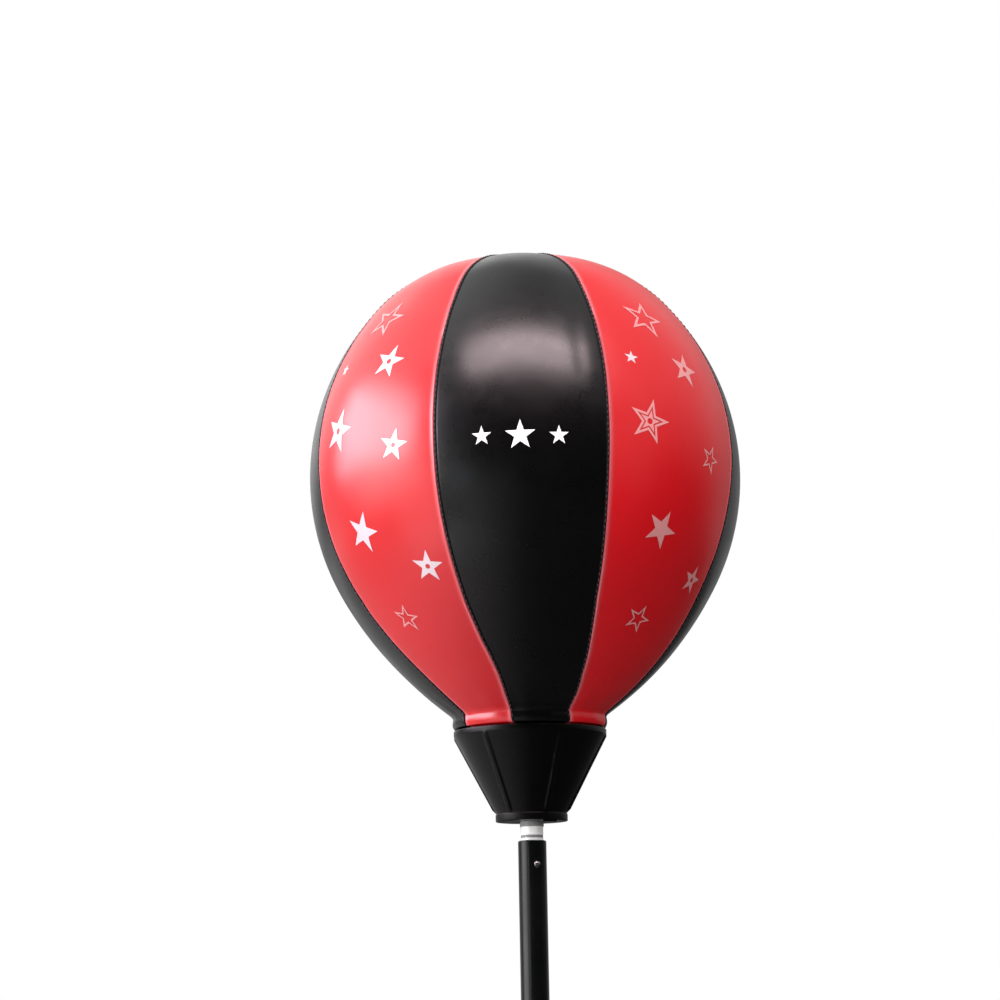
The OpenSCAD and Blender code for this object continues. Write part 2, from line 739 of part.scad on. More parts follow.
module reflex_spring() {
    rings = len(wire_stops);
    points = [
        for (s = wire_stops, k = [0:wire_sides - 1]) let (b = 360*k/wire_sides)
            s[0] + wire_r*(cos(b)*s[2] + sin(b)*cross(s[1], s[2]))
    ];
    sides = [
        for (i = [0:rings - 2], k = [0:wire_sides - 1])
            let (n = (k + 1) % wire_sides, p = i*wire_sides, q = p + wire_sides)
                each [[p + k, q + k, q + n], [p + k, q + n, p + n]]
    ];
    ends = [
        for (k = [1:wire_sides - 2])
            each [[0, k, k + 1], (rings - 1)*wire_sides*[1, 1, 1] + [0, k + 1, k]]
    ];
    color(steel) translate([0, 0, spring_z]) polyhedron(points, concat(sides, ends));
}

// Base: an upright wall, a rounded shoulder and a sloping top up to the boss
round_steps = 6;
slope_w = base_r - base_round - boss_d/2;
slope_h = base_h - boss_rise - rim_wall_h;
top_slope = acos(base_round/norm([slope_w, slope_h])) - atan2(slope_w, slope_h);
function slope_z(r, inset) =
    rim_wall_h + (base_round - inset)*cos(top_slope)
    + (base_r - base_round + (base_round - inset)*sin(top_slope) - r)*tan(top_slope);
function base_outline(inset, r_in, z_low) =
    concat(
        [[r_in, z_low], [base_r - inset - foot_edge, z_low], [base_r - inset, z_low + foot_edge]],
        [[base_r - inset, rim_wall_h]],
        arc_run([base_r - inset, rim_wall_h], base_round - inset, 0, 90 - top_slope, 1, round_steps),
        [[r_in, slope_z(r_in, inset)]]
    );

filler_r = base_r - filler_in;
filler_pad_z = slope_z(filler_r - filler_pad_d/2, 0) + filler_pad_rise;
module at_filler(z) { translate([0, filler_r, z]) children(); }

module base_tank() {
    column_r = column_d/2;
    recess_r = recess_d/2;
    bolt_hole_r = base_bolt_r + seat_gap;
    color(plastic_black) difference() {
        union() {
            rotate_extrude() polygon(base_outline(0, boss_d/2 - tank_wall, 0));
            cylinder(d = boss_d, h = base_h);
            at_filler(rim_wall_h) cylinder(d = filler_pad_d, h = filler_pad_z - rim_wall_h);
        }
        // Inside of the tank, round the recess and the column
        difference() {
            rotate_extrude() polygon(base_outline(tank_wall, column_r, tank_wall));
            cylinder(r = recess_r + tank_wall, h = recess_h + tank_wall);
        }
        translate([0, 0, -1]) cylinder(r = recess_r, h = recess_h + 1);
        cylinder(r = bolt_hole_r, h = base_h + 1);
        at_filler(rim_wall_h) cylinder(d = filler_d, h = filler_pad_z);
        at_filler(filler_pad_z - gasket_t) cylinder(d = gasket_d + 2*seat_gap, h = gasket_t + 1);
    }
}

gasket_d = (filler_d + filler_pad_d)/2;

module water_ballast() {
    inset = tank_wall + slide_gap;
    color([0.55, 0.70, 0.80]) difference() {
        rotate_extrude() polygon(base_outline(inset, column_d/2 + slide_gap, inset));
        translate([0, 0, -1])
            cylinder(r = recess_d/2 + inset, h = recess_h + inset + 1);
        at_filler(filler_pad_z - cap_depth - slide_gap)
            cylinder(d = filler_d, h = filler_pad_z);
    }
}

module filler_gasket() {
    color(rubber_dark) at_filler(filler_pad_z - gasket_t) difference() {
        cylinder(d = gasket_d, h = gasket_t);
        translate([0, 0, -1]) cylinder(d = filler_d + 2*seat_gap, h = gasket_t + 2);
    }
}

module filler_cap() {
    head_d = filler_pad_d - 4;
    plug_d = filler_d - 2*cap_gap;
    grip_w = 8;
    color(plastic_black) at_filler(filler_pad_z) difference() {
        union() {
            rotate_extrude() polygon([
                [0, 0], [head_d/2, 0], [head_d/2, cap_head_h - 1.5],
                [head_d/2 - 1.5, cap_head_h], [0, cap_head_h]
            ]);
            translate([0, 0, -cap_depth]) cylinder(d = plug_d, h = cap_depth + eps);
            translate([-head_d*0.36, -grip_w/2, cap_head_h - eps])
                cube([head_d*0.72, grip_w, cap_head_h + eps]);
        }
        translate([0, 0, -cap_depth - 1]) cylinder(d = plug_d - 2*tank_wall, h = cap_depth);
    }
}

base_washer_t = 2;
base_washer_d = 3*base_bolt_d;

module base_washer() {
    color(steel) translate([0, 0, recess_h - base_washer_t]) difference() {
        cylinder(d = base_washer_d, h = base_washer_t);
        translate([0, 0, -1]) cylinder(r = base_bolt_r + seat_gap, h = base_washer_t + 2);
    }
}

module base_bolt() {
    head_h = base_bolt_d*0.64;
    head_z = recess_h - base_washer_t - head_h;
    color(steel) {
        translate([0, 0, head_z]) cylinder(d = base_bolt_d*1.85, h = head_h, $fn = 6);
        translate([0, 0, head_z + eps]) cylinder(
            r = base_bolt_r, h = lower_flange_z + base_bolt_in - head_z);
    }
}

base_tank();
water_ballast();
filler_gasket();
filler_cap();
base_bolt();
base_washer();
lower_spring_cup();
lower_spring_plug();
reflex_spring();
upper_spring_plug();
upper_spring_cup();
lower_pole();
lower_pole_pin();
pole_collar();
upper_pole();
pole_bottom_guide();
height_button();
height_button_clip();
neck_stub();
neck_insert();
neck_seal();
neck_button();
neck_button_clip();
ball_cup();
clamp_plug();
clamp_washer();
clamp_bolt();
bladder();
bladder_valve();
valve_eyelet();
crown_patch();
panel_front();
panel_front_right();
panel_right();
panel_rear_right();
panel_rear();
panel_rear_left();
panel_left();
panel_front_left();
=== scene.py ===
import math

import bmesh
import bpy
import numpy as np
from mathutils import Matrix, Vector


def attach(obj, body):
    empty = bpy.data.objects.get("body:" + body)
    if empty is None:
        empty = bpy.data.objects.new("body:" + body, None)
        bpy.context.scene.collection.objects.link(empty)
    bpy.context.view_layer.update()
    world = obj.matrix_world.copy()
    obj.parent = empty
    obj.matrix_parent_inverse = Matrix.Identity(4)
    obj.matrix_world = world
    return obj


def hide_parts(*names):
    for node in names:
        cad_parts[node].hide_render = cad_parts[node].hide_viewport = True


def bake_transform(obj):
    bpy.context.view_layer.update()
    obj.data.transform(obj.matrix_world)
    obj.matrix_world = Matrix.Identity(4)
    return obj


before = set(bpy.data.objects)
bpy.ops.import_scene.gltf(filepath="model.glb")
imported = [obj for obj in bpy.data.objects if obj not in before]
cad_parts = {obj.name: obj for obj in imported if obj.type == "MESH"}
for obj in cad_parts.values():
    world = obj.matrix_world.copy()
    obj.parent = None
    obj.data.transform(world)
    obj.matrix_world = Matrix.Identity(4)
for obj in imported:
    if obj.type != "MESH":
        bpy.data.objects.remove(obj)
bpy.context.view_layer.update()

# Sizes are in millimetres, as in the part's source, and meshes are made in metres
MM = 0.001
# A radius that counts as none
ON_AXIS = 1e-6

# The ball
BELT_Z = 1050.523
BALL_R = 124.0
PANELS = 8
PITCH = 360.0 / PANELS
LEATHER_T = 1.2
TIP_R = 10.0
COLLAR_R = 43.4
COLLAR_FOLD = 1.8
COLLAR_FOOT_Z = -146.22
TUCK_R = 40.2

# The cup and the neck
CUP_Z = 852.7
CUP_H = 51.4
RIM_R = 43.4
RIM_BAND_H = 3.0
FOOT_R = 19.8
LIP_R = 20.4
LIP_H = 4.0
RIB_COUNT = 6
RIB_PHASE = 24.0
RIB_W = 3.0
RIB_RISE = 1.0
NECK_R = 6.35
POLE_TOP_Z = 842.0
HEIGHT_BUTTON_Z = 472.0
NECK_BUTTON_Z = 828.6
BUTTON_TURN = 18.0
BUTTON_SEAT = 1.25
LEAF_T = 0.5
LEAF_EDGE = 0.1
LEAF_POINTS = 70

# The poles, the spring and the base
UPPER_R = 8.0
LOWER_R = 9.5
LOWER_TOP_Z = 640.0
SPRING_FOOT_Z = 123.0
SPRING_L = 112.0
COIL_R = 19.0
WIRE_R = 3.0
COIL_TURNS = 10
SKIRT_R = 28.5
SKIRT_H = 18.0
BASE_R = 200.0
BASE_H = 114.0
RIM_WALL_H = 32.0
BASE_ROUND = 28.0
BOSS_R = 40.0
BOSS_RISE = 12.4
FOOT_EDGE = 8.0
FILLER_Y = 120.0
FILLER_R = 19.0
PAD_R = 27.0
FILLER_SEAT_R = 23.4

scene = bpy.context.scene


# ---------------------------------------------------------------- meshes

def smoothstep(t):
    """0 below 0, 1 above 1, and an S between them."""
    t = np.clip(t, 0.0, 1.0)
    return t * t * (3 - 2 * t)


def ramp(value, start, end):
    """Rises smoothly from 0 at start to 1 at end, whichever of the two is larger."""
    return smoothstep((value - start) / (end - start))


def add_piece(name, points, faces, material, body=None, slot=None, nodes=(), sharp=35.0):
    """A mesh from points in millimetres, smooth but for edges sharper than sharp degrees."""
    mesh = bpy.data.meshes.new(name)
    mesh.from_pydata((np.asarray(points, float) * MM).tolist(), [], [tuple(f) for f in faces])
    mesh.validate()
    mesh.shade_smooth()
    mesh.set_sharp_from_angle(angle=math.radians(sharp))
    mesh.materials.append(material)
    obj = bpy.data.objects.new(name, mesh)
    scene.collection.objects.link(obj)
    return settle(obj, body, nodes)


def settle(obj, body, nodes=()):
    if body:
        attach(obj, body)
    if nodes:
        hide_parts(*nodes)
    return obj


def grid_faces(rows, cols, wrap_rows=False, wrap_cols=False, start=0, flip=False):
    """Quads between the points of a grid whose rows are stored one after another."""
    faces = []
    for i in range(rows if wrap_rows else rows - 1):
        for j in range(cols if wrap_cols else cols - 1):
            a = start + i * cols + j
            b = start + i * cols + (j + 1) % cols
            c = start + ((i + 1) % rows) * cols + (j + 1) % cols
            d = start + ((i + 1) % rows) * cols + j
            faces.append((a, d, c, b) if flip else (a, b, c, d))
    return faces


def rounded(profile, steps=4, closed=False):
    """The profile with its corners rounded. A point is (r, z) or (r, z, radius of its corner)."""
    n = len(profile)
    points = []
    for i, corner in enumerate(profile):
        here = np.array(corner[:2], float)
        radius = corner[2] if len(corner) > 2 else 0.0
        if radius <= 0 or (not closed and i in (0, n - 1)):
            points.append(here)
            continue
        back = np.array(profile[i - 1][:2], float) - here
        ahead = np.array(profile[(i + 1) % n][:2], float) - here
        len_back, len_ahead = np.linalg.norm(back), np.linalg.norm(ahead)
        back, ahead = back / len_back, ahead / len_ahead
        half = math.acos(float(np.clip(back @ ahead, -1, 1))) / 2
        reach = min(radius / math.tan(half), 0.49 * len_back, 0.49 * len_ahead)
        centre = here + (back + ahead) / np.linalg.norm(back + ahead) * reach / math.cos(half)
        start, end = here + back * reach - centre, here + ahead * reach - centre
        turn = math.atan2(start[0] * end[1] - start[1] * end[0], start @ end)
        for k in range(steps + 1):
            a = turn * k / steps
            c, s = math.cos(a), math.sin(a)
            points.append(centre + [c * start[0] - s * start[1], s * start[0] + c * start[1]])
    return points


def lathe(profile, segments=96, closed=False, reshape=None):
    """Turns a profile about the Z axis. reshape(radius, height, angle) gives new ones."""
    profile = np.array(profile, float)
    angles = np.arange(segments) * 2 * math.pi / segments
    r = np.repeat(profile[:, :1], segments, 1)
    z = np.repeat(profile[:, 1:2], segments, 1)
    a = np.repeat(angles[None, :], len(profile), 0)
    if reshape:
        r, z = reshape(r, z, a)
    grid = np.stack([r * np.sin(a), -r * np.cos(a), z], -1)
    if closed:
        return grid.reshape(-1, 3), grid_faces(len(profile), segments, True, True)
    # A profile that starts or ends on the axis gets one point there, and a fan round it
    starts_on_axis, ends_on_axis = profile[0, 0] < ON_AXIS, profile[-1, 0] < ON_AXIS
    rings = grid[int(starts_on_axis):len(grid) - int(ends_on_axis)]
    points = [grid[0, 0]] if starts_on_axis else []
    start = len(points)
    points.extend(rings.reshape(-1, 3))
    faces = grid_faces(len(rings), segments, False, True, start)
    if starts_on_axis:
        faces.extend((0, start + (j + 1) % segments, start + j) for j in range(segments))
    if ends_on_axis:
        tip, row = len(points), start + (len(rings) - 1) * segments
        points.append(grid[-1, 0])
        faces.extend((tip, row + j, row + (j + 1) % segments) for j in range(segments))
    return np.array(points), faces


def turned(name, profile, material, body, slot, nodes=(), segments=96, closed=False,
           reshape=None, sharp=35.0):
    """A piece turned from a profile whose corners are rounded."""
    points, faces = lathe(rounded(profile, closed=closed), segments, closed, reshape)
    return add_piece(name, points, faces, material, body, slot, nodes, sharp)


def tube_faces(rows, cols):
    """The sides and both ends of a tube whose rings of cols points are stored in order."""
    n = rows * cols
    ends = [tuple(range(cols)), tuple(reversed(range(n - cols, n)))]
    return grid_faces(rows, cols, wrap_cols=True) + ends


def outward(points, faces):
    """The faces of a closed solid, turned over when they look into it."""
    volume = sum(points[f[0]] @ np.cross(points[f[k]], points[f[k + 1]])
                 for f in faces for k in range(1, len(f) - 1))
    return faces if volume > 0 else [tuple(reversed(f)) for f in faces]


def joined(parts):
    """One set of points and faces from several."""
    points, faces, count = [], [], 0
    for some_points, some_faces in parts:
        points.extend(some_points)
        faces.extend(tuple(i + count for i in f) for f in some_faces)
        count += len(some_points)
    return np.array(points), faces


# ---------------------------------------------------------------- materials

def new_group(name, inputs, outputs):
    """A shader node group. inputs are (name, type, default), outputs (name, type)."""
    group = bpy.data.node_groups.new(name, "ShaderNodeTree")
    for label, kind, value in inputs:
        socket = group.interface.new_socket(label, in_out="INPUT", socket_type=kind)
        socket.default_value = value
    for label, kind in outputs:
        group.interface.new_socket(label, in_out="OUTPUT", socket_type=kind)
    return group, group.nodes.new("NodeGroupInput"), group.nodes.new("NodeGroupOutput")


def add_node(tree, kind, **settings):
    node = tree.nodes.new(kind)
    for key, value in settings.items():
        if key in node.inputs:
            node.inputs[key].default_value = value
        else:
            setattr(node, key, value)
    return node


def math_node(tree, operation, a, b=None, clamp=False):
    node = tree.nodes.new("ShaderNodeMath")
    node.operation = operation
    node.use_clamp = clamp
    for socket, value in zip(node.inputs, (a, b)):
        if value is None:
            continue
        if isinstance(value, (int, float)):
            socket.default_value = value
        else:
            tree.links.new(value, socket)
    return node.outputs[0]


def map_range(tree, value, low, high, to_low, to_high):
    node = tree.nodes.new("ShaderNodeMapRange")
    tree.links.new(value, node.inputs["Value"])
    for key, number in (("From Min", low), ("From Max", high),
                        ("To Min", to_low), ("To Max", to_high)):
        node.inputs[key].default_value = number
    return node.outputs["Result"]


def mix_colour(tree, factor, a, b):
    node = tree.nodes.new("ShaderNodeMix")
    node.data_type = "RGBA"
    for socket, value in zip((node.inputs[0], node.inputs[6], node.inputs[7]), (factor, a, b)):
        if isinstance(value, (int, float)):
            socket.default_value = value
        elif isinstance(value, (tuple, list)):
            socket.default_value = (*value, 1.0) if len(value) == 3 else value
        else:
            tree.links.new(value, socket)
    return node.outputs[2]


def object_place(tree):
    """The place on the piece, which its textures are laid out by."""
    return tree.nodes.new("ShaderNodeTexCoord").outputs["Object"]


def split(tree, vector):
    """The X, Y and Z of a vector."""
    parts = tree.nodes.new("ShaderNodeSeparateXYZ")
    tree.links.new(vector, parts.inputs[0])
    return parts.outputs


def noise(tree, scale, detail=2.0, roughness=0.5, vector=None):
    node = add_node(tree, "ShaderNodeTexNoise", Scale=scale, Detail=detail, Roughness=roughness)
    tree.links.new(vector or object_place(tree), node.inputs["Vector"])
    return node.outputs["Fac"]


def make_grain_group():
    """Pebbled grain of pressed synthetic leather, with fine pores and slow stretch marks."""
    group, inside, outside = new_group(
        "leather_grain",
        [("Cells Per Metre", "NodeSocketFloat", 900.0), ("Pebble", "NodeSocketFloat", 1.0),
         ("Stretch", "NodeSocketFloat", 1.0)],
        [("Height", "NodeSocketFloat"), ("Shade", "NodeSocketFloat"),
         ("Gloss", "NodeSocketFloat")])
    tree, link = group, group.links.new
    place = object_place(tree)
    cells = add_node(tree, "ShaderNodeTexVoronoi", feature="F1")
    link(place, cells.inputs["Vector"])
    link(inside.outputs["Cells Per Metre"], cells.inputs["Scale"])
    pebble = math_node(tree, "MULTIPLY", cells.outputs["Distance"], inside.outputs["Pebble"])
    pores = math_node(tree, "MULTIPLY", noise(tree, 2600.0, 1.0, 0.5, place), 0.1)
    slow = noise(tree, 22.0, 2.0, 0.5, place)
    stretch = math_node(tree, "MULTIPLY", math_node(tree, "MULTIPLY", slow, 2.2),
                        inside.outputs["Stretch"])
    height = math_node(tree, "ADD", math_node(tree, "ADD", pebble, pores), stretch)
    link(height, outside.inputs["Height"])
    blotch = noise(tree, 14.0, 3.0, 0.55, place)
    link(map_range(tree, blotch, 0.3, 0.7, 0.0, 1.0), outside.inputs["Shade"])
    rub = noise(tree, 60.0, 4.0, 0.65, place)
    link(map_range(tree, rub, 0.35, 0.75, 0.0, 1.0), outside.inputs["Gloss"])
    return group


def make_wear_group():
    """Rubbed edges, from how sharply the surface turns, broken up by noise."""
    group, inside, outside = new_group(
        "edge_wear",
        [("Threshold", "NodeSocketFloat", 0.54), ("Breakup", "NodeSocketFloat", 120.0)],
        [("Mask", "NodeSocketFloat")])
    tree, link = group, group.links.new
    turn = tree.nodes.new("ShaderNodeNewGeometry").outputs["Pointiness"]
    over = math_node(tree, "SUBTRACT", turn, inside.outputs["Threshold"])
    edge = math_node(tree, "MULTIPLY", over, 22.0, clamp=True)
    place = object_place(tree)
    breakup = add_node(tree, "ShaderNodeTexNoise", Detail=4.0, Roughness=0.7)
    link(place, breakup.inputs["Vector"])
    link(inside.outputs["Breakup"], breakup.inputs["Scale"])
    patches = map_range(tree, breakup.outputs["Fac"], 0.42, 0.62, 0.0, 1.0)
    link(math_node(tree, "MULTIPLY", edge, patches, clamp=True), outside.inputs["Mask"])
    return group


def make_scuff_group():
    """Fine straight scratches and soft smudges, as handling leaves them."""
    group, inside, outside = new_group(
        "handling_marks",
        [("Scale", "NodeSocketFloat", 1.0)],
        [("Scratch", "NodeSocketFloat"), ("Smudge", "NodeSocketFloat")])
    tree, link = group, group.links.new
    place = object_place(tree)
    mapping = add_node(tree, "ShaderNodeMapping")
    mapping.inputs["Scale"].default_value = (1.0, 1.0, 0.06)
    mapping.inputs["Rotation"].default_value = (0.5, 0.35, 0.0)
    link(place, mapping.inputs["Vector"])
    wide = math_node(tree, "MULTIPLY", inside.outputs["Scale"], 900.0)
    lines = add_node(tree, "ShaderNodeTexNoise", Detail=1.0)
    link(mapping.outputs["Vector"], lines.inputs["Vector"])
    link(wide, lines.inputs["Scale"])
    link(map_range(tree, lines.outputs["Fac"], 0.66, 0.72, 0.0, 1.0), outside.inputs["Scratch"])
    soft = add_node(tree, "ShaderNodeTexNoise", Detail=3.0, Roughness=0.6)
    link(place, soft.inputs["Vector"])
    link(math_node(tree, "MULTIPLY", inside.outputs["Scale"], 30.0), soft.inputs["Scale"])
    link(map_range(tree, soft.outputs["Fac"], 0.35, 0.7, 0.0, 1.0), outside.inputs["Smudge"])
    return group


def make_dust_group():
    """Dust that settles on faces that look up."""
    group, inside, outside = new_group(
        "settled_dust", [("Amount", "NodeSocketFloat", 0.2)], [("Mask", "NodeSocketFloat")])
    tree, link = group, group.links.new
    normal = tree.nodes.new("ShaderNodeNewGeometry").outputs["Normal"]
    up = map_range(tree, split(tree, normal)["Z"], 0.45, 1.0, 0.0, 1.0)
    specks = noise(tree, 340.0, 5.0, 0.7)
    drift = noise(tree, 26.0, 3.0, 0.6)
    mask = math_node(tree, "MULTIPLY", map_range(tree, specks, 0.4, 0.75, 0.2, 1.0),
                     map_range(tree, drift, 0.3, 0.7, 0.3, 1.0))
    mask = math_node(tree, "MULTIPLY", mask, up)
    link(math_node(tree, "MULTIPLY", mask, inside.outputs["Amount"], clamp=True),
         outside.inputs["Mask"])
    return group


GRAIN = make_grain_group()
WEAR = make_wear_group()
MARKS = make_scuff_group()
DUST = make_dust_group()


def new_material(name):
    material = bpy.data.materials.new(name)
    material.use_nodes = True
    tree = material.node_tree
    return material, tree, tree.nodes["Principled BSDF"]


def place_group(tree, group, **values):
    node = tree.nodes.new("ShaderNodeGroup")
    node.node_tree = group
    for key, value in values.items():
        node.inputs[key.replace("_", " ")].default_value = value
    return node


def give_relief(tree, shader, height, depth, strength):
    """Fine relief from a height, depth metres deep at its full strength."""
    node = add_node(tree, "ShaderNodeBump", Strength=strength, Distance=depth)
    tree.links.new(height, node.inputs["Height"])
    tree.links.new(node.outputs["Normal"], shader.inputs["Normal"])


def give_gloss(tree, shader, mask, smoothest, roughest):
    """Roughness between two values, as a mask says."""
    tree.links.new(map_range(tree, mask, 0.0, 1.0, smoothest, roughest),
                   shader.inputs["Roughness"])


def leather(name, colour, deep, roughness, specular, painted_edge_highlight=None):
    """Smooth coated synthetic leather: fine grain, slow stretch, uneven gloss. The edge colour,
    where given, is a painted highlight laid along the seams where the mesh marks them."""
    material, tree, shader = new_material(name)
    grain = place_group(tree, GRAIN, Cells_Per_Metre=1150.0, Pebble=1.0, Stretch=1.0)
    base = mix_colour(tree, grain.outputs["Shade"], deep, colour)
    # A paler colour along the seams: a painted highlight on the turned edges
    if painted_edge_highlight:
        edge = add_node(tree, "ShaderNodeAttribute")
        edge.attribute_name = "painted_edge_highlight"
        base = mix_colour(tree, edge.outputs["Fac"], base, painted_edge_highlight)
    tree.links.new(base, shader.inputs["Base Color"])
    give_gloss(tree, shader, grain.outputs["Gloss"], roughness - 0.03, roughness + 0.04)
    give_relief(tree, shader, grain.outputs["Height"], 0.00002, 0.35)
    shader.inputs["Specular IOR Level"].default_value = specular
    return material


def moulded(name, colour, roughness, grain_scale=1500.0, depth=0.00005, worn=(0.10, 0.10, 0.10),
            dust=0.12, specular=0.5, rubbed_at=0.535):
    """Moulded plastic: a fine etched texture, rubbed edges and a little dust."""
    material, tree, shader = new_material(name)
    wear = place_group(tree, WEAR, Threshold=rubbed_at, Breakup=150.0)
    dusty = place_group(tree, DUST, Amount=dust)
    marks = place_group(tree, MARKS, Scale=0.7)
    base = mix_colour(tree, wear.outputs["Mask"], colour, worn)
    base = mix_colour(tree, dusty.outputs["Mask"], base, (0.32, 0.31, 0.29))
    tree.links.new(base, shader.inputs["Base Color"])
    give_gloss(tree, shader, marks.outputs["Smudge"], roughness - 0.05, roughness + 0.07)
    etched = noise(tree, grain_scale, 3.0, 0.6)
    scored = math_node(tree, "SUBTRACT", etched,
                       math_node(tree, "MULTIPLY", marks.outputs["Scratch"], 0.4))
    give_relief(tree, shader, scored, depth, 0.7)
    shader.inputs["Specular IOR Level"].default_value = specular
    return material


def steel(name, colour, roughness, brushed=True, metallic=1.0):
    """Plain or plated steel with turning marks, smudges and fine scratches."""
    material, tree, shader = new_material(name)
    marks = place_group(tree, MARKS, Scale=1.4)
    dull = tuple(c * 0.72 for c in colour)
    tree.links.new(mix_colour(tree, marks.outputs["Scratch"], colour, dull),
                   shader.inputs["Base Color"])
    give_gloss(tree, shader, marks.outputs["Smudge"], roughness * 0.75, roughness * 1.35)
    if brushed:
        mapping = add_node(tree, "ShaderNodeMapping")
        mapping.inputs["Scale"].default_value = (0.05, 0.05, 1.0)
        tree.links.new(object_place(tree), mapping.inputs["Vector"])
        lines = noise(tree, 2600.0, 2.0, 0.6, mapping.outputs["Vector"])
        give_relief(tree, shader, lines, 0.00003, 0.5)
    shader.inputs["Metallic"].default_value = metallic
    return material


def painted(name, colour, roughness):
    """Glossy black powder coat: slight orange peel, scratches down to a greyer primer."""
    material, tree, shader = new_material(name)
    marks = place_group(tree, MARKS, Scale=1.1)
    dusty = place_group(tree, DUST, Amount=0.1)
    scratched = math_node(tree, "MULTIPLY", marks.outputs["Scratch"], 0.04)
    base = mix_colour(tree, scratched, colour, (0.17, 0.17, 0.175))
    base = mix_colour(tree, dusty.outputs["Mask"], base, (0.3, 0.3, 0.29))
    tree.links.new(base, shader.inputs["Base Color"])
    give_gloss(tree, shader, marks.outputs["Smudge"], roughness, roughness + 0.1)
    give_relief(tree, shader, noise(tree, 420.0, 2.0, 0.5), 0.00006, 0.35)
    shader.inputs["Specular IOR Level"].default_value = 0.6
    return material


def rubber(name, colour, roughness, specular=0.5):
    """Matt rubber, thread or cloth: a fine tooth, smudges and dust."""
    material, tree, shader = new_material(name)
    marks = place_group(tree, MARKS, Scale=1.0)
    dusty = place_group(tree, DUST, Amount=0.2)
    base = mix_colour(tree, dusty.outputs["Mask"], colour, (0.3, 0.29, 0.28))
    tree.links.new(base, shader.inputs["Base Color"])
    give_gloss(tree, shader, marks.outputs["Smudge"], roughness - 0.08, roughness + 0.08)
    give_relief(tree, shader, noise(tree, 1900.0, 4.0, 0.7), 0.00004, 0.6)
    shader.inputs["Specular IOR Level"].default_value = specular
    return material


def ink(name, colour, metallic, roughness):
    """Screen-printed ink with a metallic sheen and tiny pinholes."""
    material, tree, shader = new_material(name)
    flecks = map_range(tree, noise(tree, 1400.0, 3.0, 0.7), 0.3, 0.42, 0.0, 1.0)
    tree.links.new(mix_colour(tree, flecks, tuple(c * 0.8 for c in colour), colour),
                   shader.inputs["Base Color"])
    rubbed = map_range(tree, noise(tree, 90.0, 3.0, 0.6), 0.3, 0.7, 0.0, 1.0)
    give_gloss(tree, shader, rubbed, roughness - 0.05, roughness + 0.06)
    shader.inputs["Metallic"].default_value = metallic
    return material


# The finishes. Colours are linear
BLACK_LEATHER = leather("black_leather", (0.0008, 0.0008, 0.001), (0.0005, 0.0005, 0.0007),
                        0.29, 0.5)
# Red leather with a painted highlight along its seams, in a paler colour
RED_LEATHER = leather("red_leather", (0.52, 0.001, 0.0055), (0.475, 0.001, 0.0045), 0.31, 0.8,
                      painted_edge_highlight=(0.66, 0.26, 0.30))
THREAD = rubber("dark_thread", (0.05, 0.04, 0.045), 0.5)
# A matt near-black for the strips in the seams: painted shade
SEAM_SHADE_BLACK = rubber("seam_shade_black", (0.004, 0.003, 0.003), 0.75, specular=0.2)
CUP_PLASTIC = moulded("cup_plastic", (0.0007, 0.0007, 0.0009), 0.32, dust=0.012,
                      specular=0.24, rubbed_at=0.6, worn=(0.04, 0.04, 0.042))
FITTING_PLASTIC = moulded("fitting_plastic", (0.016, 0.016, 0.017), 0.45)
BASE_PLASTIC = moulded("base_plastic", (0.017, 0.017, 0.018), 0.5, 1100.0, 0.00012, dust=0.25)
POLE_PAINT = painted("pole_paint", (0.0015, 0.0017, 0.002), 0.15)
SPRING_STEEL = painted("spring_steel", (0.014, 0.014, 0.015), 0.3)
PLATED = steel("plated_steel", (0.97, 0.97, 0.96), 0.24, brushed=False, metallic=0.12)
BARE_STEEL = steel("bare_steel", (0.50, 0.50, 0.52), 0.32)
BUTTON_STEEL = steel("button_steel", (0.35, 0.35, 0.36), 0.25, brushed=False)
BLACK_RUBBER = rubber("black_rubber", (0.02, 0.02, 0.021), 0.6)
# A mid grey for the rings on the neck: painted shade
PAINTED_SHADE_GREY = rubber("painted_shade_grey", (0.24, 0.24, 0.235), 0.5)
BLADDER_RUBBER = rubber("bladder_rubber", (0.028, 0.028, 0.03), 0.5)
# One silver star ink in two copies whose colours differ by painted light: a paler copy for the
# stars that catch the light, a darker, pinker copy for those in shade
INK_LIT_COPY = ink("star_ink_lit_copy", (0.76, 0.64, 0.68), 0.45, 0.38)
INK_SHADED_COPY = ink("star_ink_shaded_copy", (0.70, 0.29, 0.29), 0.25, 0.38)
WHITE_INK = ink("white_ink", (0.86, 0.86, 0.86), 0.0, 0.45)


# ---------------------------------------------------------------- the ball

LEAN = math.radians(-1.0)
# How far the seams creep round with height in ball radii: the terms of a cubic, in degrees
SEAM_CREEP = (-0.38, 0.52, 3.08, -2.24)
# How far a front seam stands from its even place, by the panel on its left, in degrees
SEAM_SHIFT = {
    6: ((-131, -122, -105, -85, -40, 0, 40, 85, 110),
        (4.7, 3.7, 1.3, -0.3, -1.6, -2.3, -3.6, -4.0, -1.5)),
    7: ((-131, -122, -105, -85, 0, 40, 85), (3.5, 3.2, 1.0, 0.1, 0.0, -0.3, -0.2)),
    0: ((-131, -122, -105, -85, -70, -35, 0, 40, 85),
        (0.6, -1.1, -2.1, -2.2, -1.7, -1.2, -0.7, -0.4, -0.7)),
    1: ((-131, -105, -70, -35, 0, 40, 85), (3.8, 2.8, 1.4, 2.2, 4.2, 4.8, 4.2)),
}


